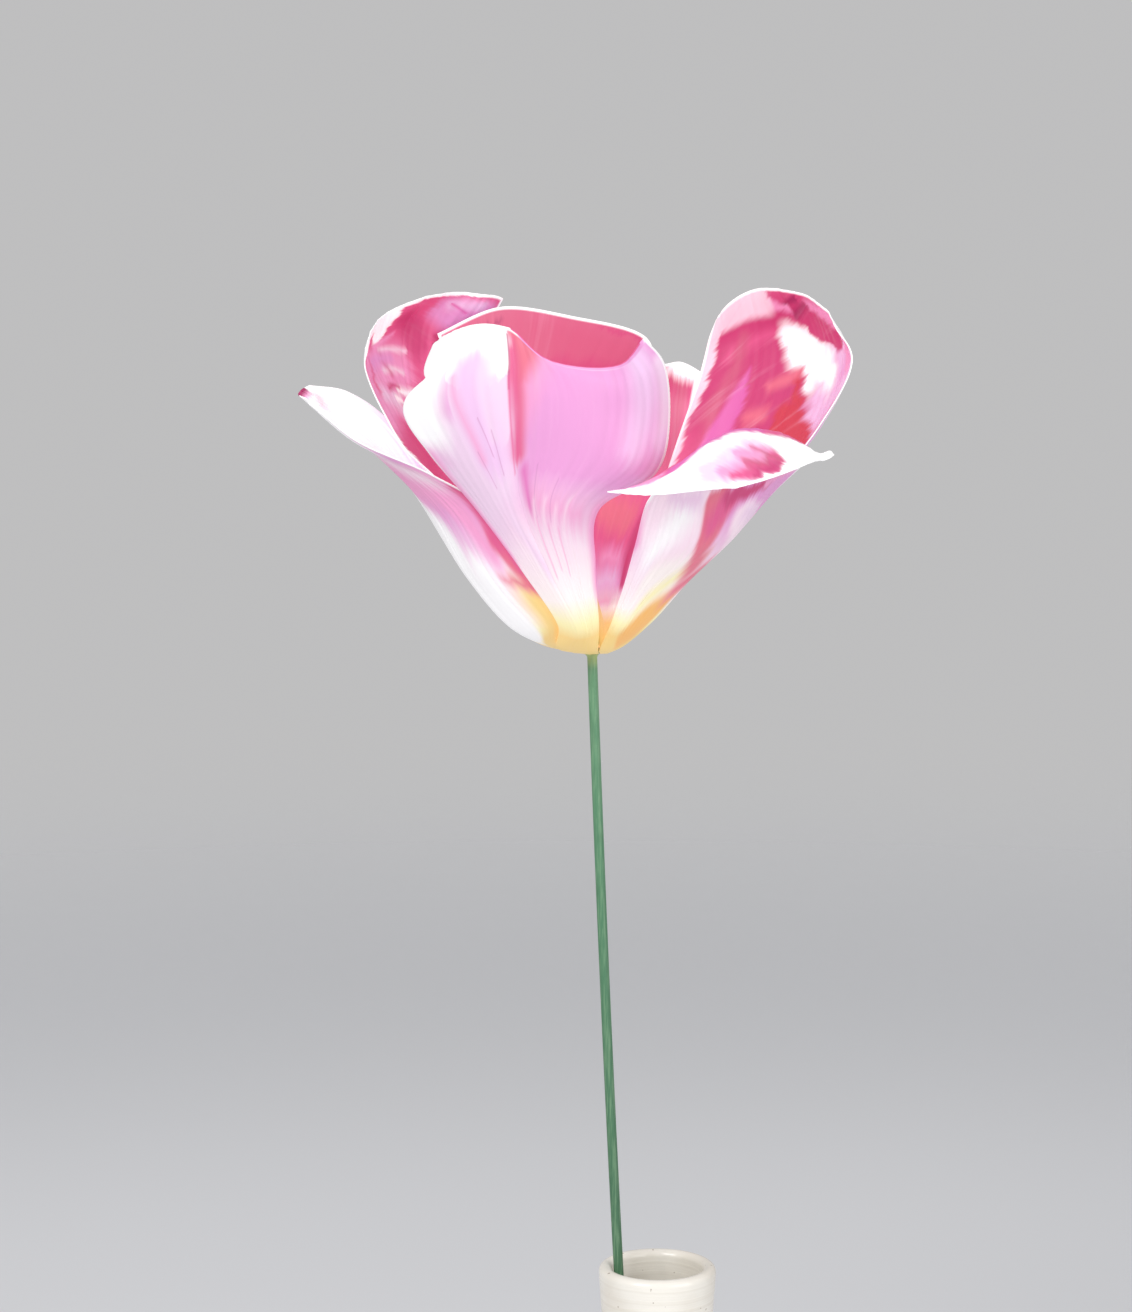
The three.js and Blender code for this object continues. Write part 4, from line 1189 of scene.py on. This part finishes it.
flesh = Finish("pistil_flesh")
speckle = flesh.noise(flesh.node("ShaderNodeTexCoord", output="Object"), SPECKLE_SCALE, detail=3)
green = flesh.node("ShaderNodeValToRGB", {"stops": OVARY}, {"Fac": flesh.kept("rise")}, "Color")
green = flesh.mix(speckle.ramp_to_one(*SPECKLE_COMES) * SPECKLE_SHARE, green, SPECKLE_GREEN)
bump = flesh.node("ShaderNodeBump", None, {**PISTIL_BUMP, "Height": speckle})
flesh.wear(pistil, Base_Color=green, Roughness=PISTIL_ROUGH, Normal=bump)

# %% [markdown]
# Six stamens stand round the pistil. Each is a pale filament that carries a long dark anther, with
# a groove on either side where it opens. One stamen could be made and copied round, but a copy has
# to be turned about the leaning middle of the bloom. So one function makes them all, each on a line
# of its own.

# %% Make the stamens
STAMENS = 6
STAMEN_LENGTH = 27
STAMEN_OUT = [2.7, 4.1, 4.6, 4.8, 5.3, 5.4]  # distances from the bloom's middle, at even steps up
STAMEN_OUTLINE = [0.55, 0.75, 0.7, 0.6, 0.6, 1.3, 1.5, 1.45, 1.2, 0.5]  # radii at even steps up
STAMEN_RINGS, STAMEN_SIDES = 90, 32
ANTHER_FROM = 0.5
GROOVE, GROOVE_NARROW = 0.14, 8  # depth of the two grooves as a share of the radius, and how narrow


def make_stamen(number):
    """One stamen, turned to its own bearing."""
    t, turn = np.linspace(0, 1, STAMEN_RINGS), turn_steps(STAMEN_SIDES)
    facing = 360 / STAMENS * (number - 0.5)
    line = polar(facing, evenly(STAMEN_OUT, t), 0) + leaning(STAMEN_LENGTH * t)
    anther = beyond(ANTHER_FROM, t)
    grooves = 1 - GROOVE * anther * np.cos(turn - math.radians(facing)) ** GROOVE_NARROW
    radii = evenly(STAMEN_OUTLINE, t)[:, None] * grooves
    stamen = add_rings(f"flower_stamen_{number}", bloom_foot + rings_along(line, radii) * MM)
    keep_values(stamen, rise=np.repeat(t, STAMEN_SIDES))
    dress(stamen, f"stamen_{number}")
    return stamen


stamens = [make_stamen(number) for number in range(1, STAMENS + 1)]

# %% [markdown]
# The colour changes sharply where the filament enters the anther, so the ramp up the stamen has
# stops close together there. Pollen could be thousands of grains, but they would be smaller than
# anything else on the flower. A fine noise lightens the anther in specks and raises them instead.
# The filaments stand in the shade deep in the cup, so like the petals they give off a share of
# their colour, as painted light that lifts that shade.

# %% Dust the stamens with pollen
# How far up the stamen, and the colour there
FILAMENT = [(0, colour(238, 214, 140)), (0.36, colour(232, 216, 170)), (0.46, colour(120, 92, 110)),
            (0.54, colour(62, 44, 72)), (1, colour(48, 32, 58))]
# Painted light: the filament gives off a share of its colour to lift the shade deep in the cup.
FILAMENT_GLOW, GLOW_ENDS = 0.3, (0.5, 0.3)  # the filament's glow, and where it comes in on the way down
GRAIN_SCALE, POLLEN = 5200, colour(142, 112, 146)
GRAIN_COMES, DUSTED_FROM = (0.52, 0.64), (0.5, 0.6)  # where in the noise and where on the stamen
DUST_SHARE = 0.6  # how far the pollen hides the anther
DUST_BUMP = {"Strength": 0.6, "Distance": 0.0002}
DUST_ROUGH = 0.75

dust = Finish("stamen_dust")
pollen = dust.noise(dust.node("ShaderNodeTexCoord", output="Object"), GRAIN_SCALE, detail=2)
body = dust.node("ShaderNodeValToRGB", {"stops": FILAMENT}, {"Fac": dust.kept("rise")}, "Color")
on_anther = dust.kept("rise").ramp_to_one(*DUSTED_FROM)
body = dust.mix(pollen.ramp_to_one(*GRAIN_COMES) * on_anther * DUST_SHARE, body, POLLEN)
bump = dust.node("ShaderNodeBump", None, {**DUST_BUMP, "Height": pollen})
# painted light on the filaments, which lifts their shade
glow = body.vector("SCALE", {"Scale": dust.kept("rise").ramp_to_one(*GLOW_ENDS) * FILAMENT_GLOW})
dust.wear(
    *stamens,
    Base_Color=body,
    Roughness=DUST_ROUGH,
    Normal=bump,
    Emission_Color=glow,
    Emission_Strength=1.0,
)

# %% [markdown]
# The vase is out of the photograph, so it is a plain one: a small bottle thrown on a wheel, wide
# below and narrow at the neck, with a rounded lip. A turned form is a profile spun round. A Screw
# modifier could spin it, but the helper for rings is there already, and the water can then use the
# line of the same wall. The profile follows the construction's points, and the wall has its real
# thickness, so one can look in.

# %% Throw the vase
VASE_HEIGHT, VASE_WALL, VASE_FLOOR = 143, 3, 6
FOOT_RADIUS, FOOT_BEVEL, FLOOR_FILLET = 26, 1, 2
NECK_RADIUS, LIP_RADIUS = 12.4, 13.2
VASE_SIDES, VASE_STEPS = 128, 110
FLAT_STEPS, BEVEL_STEPS, LIP_STEPS = 8, 8, 16
NEAR_AXIS = 0.01  # radius of the tiny ring that closes a flat face in the middle
vase_outside = np.array([
    (FOOT_RADIUS, FOOT_BEVEL), (32.5, 24), (33.5, 50), (24.5, 84), (14, 108),
    (NECK_RADIUS, 125), (LIP_RADIUS, VASE_HEIGHT - VASE_WALL / 2),
])


def wall_at(depth):
    """The line of the wall at a depth inside its outer face, as radius and height."""
    profile = through(vase_outside, np.linspace(0, 1, VASE_STEPS), even=True)
    along = np.gradient(profile, axis=0)
    along /= np.linalg.norm(along, axis=1, keepdims=True)
    return profile + depth * np.stack([-along[:, 1], along[:, 0]], 1)


def arc(centre, radius, start, end, steps):
    """A round stretch of a profile, from one angle to another in degrees."""
    angle = np.radians(np.linspace(start, end, steps))
    return np.array(centre) + radius * np.stack([np.cos(angle), np.sin(angle)], 1)


def flat_line(start, end, height, steps):
    """A level stretch of a profile, from one radius to another."""
    return np.stack([np.linspace(start, end, steps), np.full(steps, height)], 1)


outer, inner = wall_at(0), wall_at(VASE_WALL)
inner = inner[inner[:, 1] > VASE_FLOOR + FLOOR_FILLET][::-1]
lip_middle = (outer[-1] + inner[0]) / 2
foot = arc((FOOT_RADIUS - FOOT_BEVEL, FOOT_BEVEL), FOOT_BEVEL, -90, -5, BEVEL_STEPS)
lip = arc(lip_middle, VASE_WALL / 2, 10, 170, LIP_STEPS)
fillet_middle = (inner[-1, 0] - FLOOR_FILLET, VASE_FLOOR + FLOOR_FILLET)
fillet = arc(fillet_middle, FLOOR_FILLET, 0, -90, BEVEL_STEPS)
base = flat_line(NEAR_AXIS, FOOT_RADIUS - 2 * FOOT_BEVEL, 0, FLAT_STEPS)
floor_line = flat_line(fillet[-1, 0] - 1, NEAR_AXIS, VASE_FLOOR, FLAT_STEPS)
profile = np.concatenate([base, foot, outer[1:], lip, inner, fillet, floor_line])
vase = add_rings("thrown_vase", turned(profile[:, 0], profile[:, 1], VASE_SIDES) * MM)
dress(vase, "vase")

# %% [markdown]
# Its glaze is a soft white over a pale stoneware body. It pools a little in the turning marks, has
# a few fine iron specks, and stops short of the foot, where the bare clay shows. A wheel leaves its
# marks level, so their noise is read by height alone, and a broad cloud of noise makes them wander.

# %% Glaze the vase
GLAZE_ENDS = (4.2, 3.6)  # heights between which the glaze gives way to bare clay, in millimetres
END_WANDERS = 1.6  # how far the cloud moves that border, in millimetres
MARKS_UP, MARKS_WANDER = 0.9, 0.8  # turning marks in a millimetre, and how far the cloud moves them
CLOUD_SCALE, SPECK_SCALE = 60, 900
THIN_COMES = (0.35, 0.65)  # where in the cloud the glaze gets thin
POOLS_COME, POOL_SHARE = (0.45, 0.7), 0.35  # where in the marks it pools, and how strongly that shows
SPECK_COMES, SPECK_SHARE = (0.74, 0.78), 0.6  # high in the noise, so that the specks are few
THICK_GLAZE, THIN_GLAZE = colour(238, 234, 225), colour(228, 222, 211)
POOLED_GLAZE, IRON, CLAY = colour(214, 206, 192), colour(128, 104, 84), colour(206, 184, 158)
VASE_BUMP = {"Strength": 0.35, "Distance": 0.0004}
GLAZE_ROUGH = 0.16
MARKS_ROUGHER, CLAY_ROUGHER = 0.12, 0.45  # what the turning marks and the bare clay add to that

glaze = Finish("vase_glaze")
place = glaze.node("ShaderNodeTexCoord", output="Object")
height = glaze.node("ShaderNodeSeparateXYZ", None, {0: place}, "Z") * (1 / MM)
cloud = glaze.noise(place, CLOUD_SCALE, detail=3)
turning = glaze.node("ShaderNodeCombineXYZ", None, {2: height * MARKS_UP + cloud * MARKS_WANDER})
rings = glaze.noise(turning, 1, detail=2)
specks = glaze.noise(place, SPECK_SCALE, detail=1).ramp_to_one(*SPECK_COMES)
white = glaze.mix(cloud.ramp_to_one(*THIN_COMES), THICK_GLAZE, THIN_GLAZE)
white = glaze.mix(rings.ramp_to_one(*POOLS_COME) * POOL_SHARE, white, POOLED_GLAZE)
white = glaze.mix(specks * SPECK_SHARE, white, IRON)
bare = (height + cloud * END_WANDERS).ramp_to_one(*GLAZE_ENDS)
white = glaze.mix(bare, white, CLAY)
bump = glaze.node("ShaderNodeBump", None, {**VASE_BUMP, "Height": rings})
roughness = bare * CLAY_ROUGHER + rings * MARKS_ROUGHER + GLAZE_ROUGH
glaze.wear(vase, Base_Color=white, Roughness=roughness, Normal=bump)

# %% [markdown]
# The water stands in the vase up to its shoulder. It climbs a little way up the wall and up the
# stem, as water does. Its body is turned like the vase, with many rings on its surface, and a
# formula raises each point by how near it is to the wall and to the stem.

# %% Pour the water
WATER_LEVEL, WATER_GAP = 88, 0.3
CLIMB, CLIMB_REACH = 0.7, 1.1  # how high the water climbs, and how far from the wall that reaches
SURFACE_RINGS = 60
BANK_CLEAR = 1  # how far below the surface's edge the last ring of the side stands

bank = wall_at(VASE_WALL + WATER_GAP)
bank = bank[(bank[:, 1] > VASE_FLOOR + FLOOR_FILLET) & (bank[:, 1] < WATER_LEVEL)]
bottom = flat_line(NEAR_AXIS, bank[0, 0] - FLOOR_FILLET, VASE_FLOOR + WATER_GAP, FLAT_STEPS)
surface = flat_line(bank[-1, 0], NEAR_AXIS, WATER_LEVEL - CLIMB, SURFACE_RINGS)
side = bank[bank[:, 1] < WATER_LEVEL - CLIMB - BANK_CLEAR]
profile = np.concatenate([bottom, side, surface])
water_rings = turned(profile[:, 0], profile[:, 1], VASE_SIDES)
top = water_rings[-SURFACE_RINGS:]
level_down = foot_height / MM - WATER_LEVEL
stem_across = bloom_foot[0] / MM + STEM_LEAN * level_down + STEM_BEND * level_down**2
from_stem = np.hypot(top[..., 0] - stem_across, top[..., 1]) - STEM_RADIUS
from_wall = (bank[-1, 0] - surface[:, 0])[:, None]
for away in (from_wall, from_stem):
    top[..., 2] += CLIMB * np.exp(-np.maximum(away, 0) / CLIMB_REACH)
water = add_rings("clear_water", water_rings * MM)
dress(water, "water")

# %% [markdown]
# Clear water is seen only by how it bends the light of what is in it and behind it. A Glass shader
# would do that too, but the Principled one is understood by more programs. It lets all the light
# through, and a trace of cool colour keeps the water apart from the air above it.

# %% Make the water clear
WATER_TINT, WATER_BEND = colour(236, 246, 248), 1.33  # its faint colour, and how much it bends light
WATER_ROUGH = 0.02

clear = Finish("water_clear")
clear.wear(
    water, Base_Color=WATER_TINT, Roughness=WATER_ROUGH, IOR=WATER_BEND, Transmission_Weight=1.0
)

# %% [markdown]
# The flower stands on a plain pale floor in an even, pale room of light. The floor is a round sheet
# that thins out to nothing far from the vase, so no edge or corner shows behind the flower.

# %% Lay the floor
FLOOR_RADIUS = 1.8
FLOOR_SOLID = 0.5  # radius inside which the floor is fully there
FLOOR_THICK = 0.002
FLOOR_RINGS, UNDER_RINGS, FLOOR_SIDES = 24, 3, 96
FLOOR_MIDDLE = 0.001  # radius of the small ring in the middle

under = np.linspace(FLOOR_MIDDLE, FLOOR_RADIUS, UNDER_RINGS)
radii = np.concatenate([under, np.linspace(FLOOR_RADIUS, FLOOR_MIDDLE, FLOOR_RINGS)])
heights = np.repeat([-FLOOR_THICK, 0], [UNDER_RINGS, FLOOR_RINGS])
floor = add_rings("floor", turned(radii, heights, FLOOR_SIDES))
keep_values(floor, reach=np.repeat(radii, FLOOR_SIDES))

# %% [markdown]
# The sheet is matt paper. In a studio it would curve up into a backdrop, but that would be in the way
# as soon as the flower is looked at from behind. So its finish is mixed with a clear one by the
# distance from the middle, and the light of the room takes over from it without a border.

# %% Make the floor of pale paper
PAPER = {"Base Color": colour(226, 227, 230), "Roughness": 0.9}

paper = Finish("pale_paper")
sheet = paper.node("ShaderNodeBsdfPrincipled", None, PAPER)
gone = paper.node("ShaderNodeBsdfTransparent")
there = paper.kept("reach").ramp_to_one(FLOOR_RADIUS, FLOOR_SOLID)
both = paper.node("ShaderNodeMixShader", None, {0: there, 1: gone, 2: sheet})
paper.node("ShaderNodeOutputMaterial", None, {"Surface": both})
floor.data.materials.append(paper.material)
print("floor", 2 * FLOOR_RADIUS, "m across")

# %% [markdown]
# The light is soft and comes from everywhere, with a large lamp at the upper left in front, which
# whitens the left side of the petals, and a weaker one at the right that keeps the shade clear. The
# petals' paints are true only if the picture keeps them as they are, so its view is the standard one.

# %% Hang the lamps
ROOM_LIGHT = (0.52, 0.518, 0.522, 1)
# Each lamp's place in metres, the width of its square, and its power in watts
LAMPS = {"key": ((-0.9, -1.3, 1.3), 0.9, 20), "fill": ((1.3, -1.2, 0.7), 1.2, 13)}

world = bpy.data.worlds.new("pale_room")
world.use_nodes = True
world.node_tree.nodes["Background"].inputs["Color"].default_value = ROOM_LIGHT
bpy.context.scene.world = world
for name, (place, size, power) in LAMPS.items():
    lamp = bpy.data.objects.new(name, bpy.data.lights.new(name, "AREA"))
    lamp.data.size, lamp.data.energy = size, power
    lamp.location = place
    lamp.rotation_euler = (Vector(bloom_foot) - lamp.location).to_track_quat("-Z", "Y").to_euler()
    bpy.context.scene.collection.objects.link(lamp)
bpy.context.scene.view_settings.view_transform = "Standard"
print("lamps:", ", ".join(LAMPS))
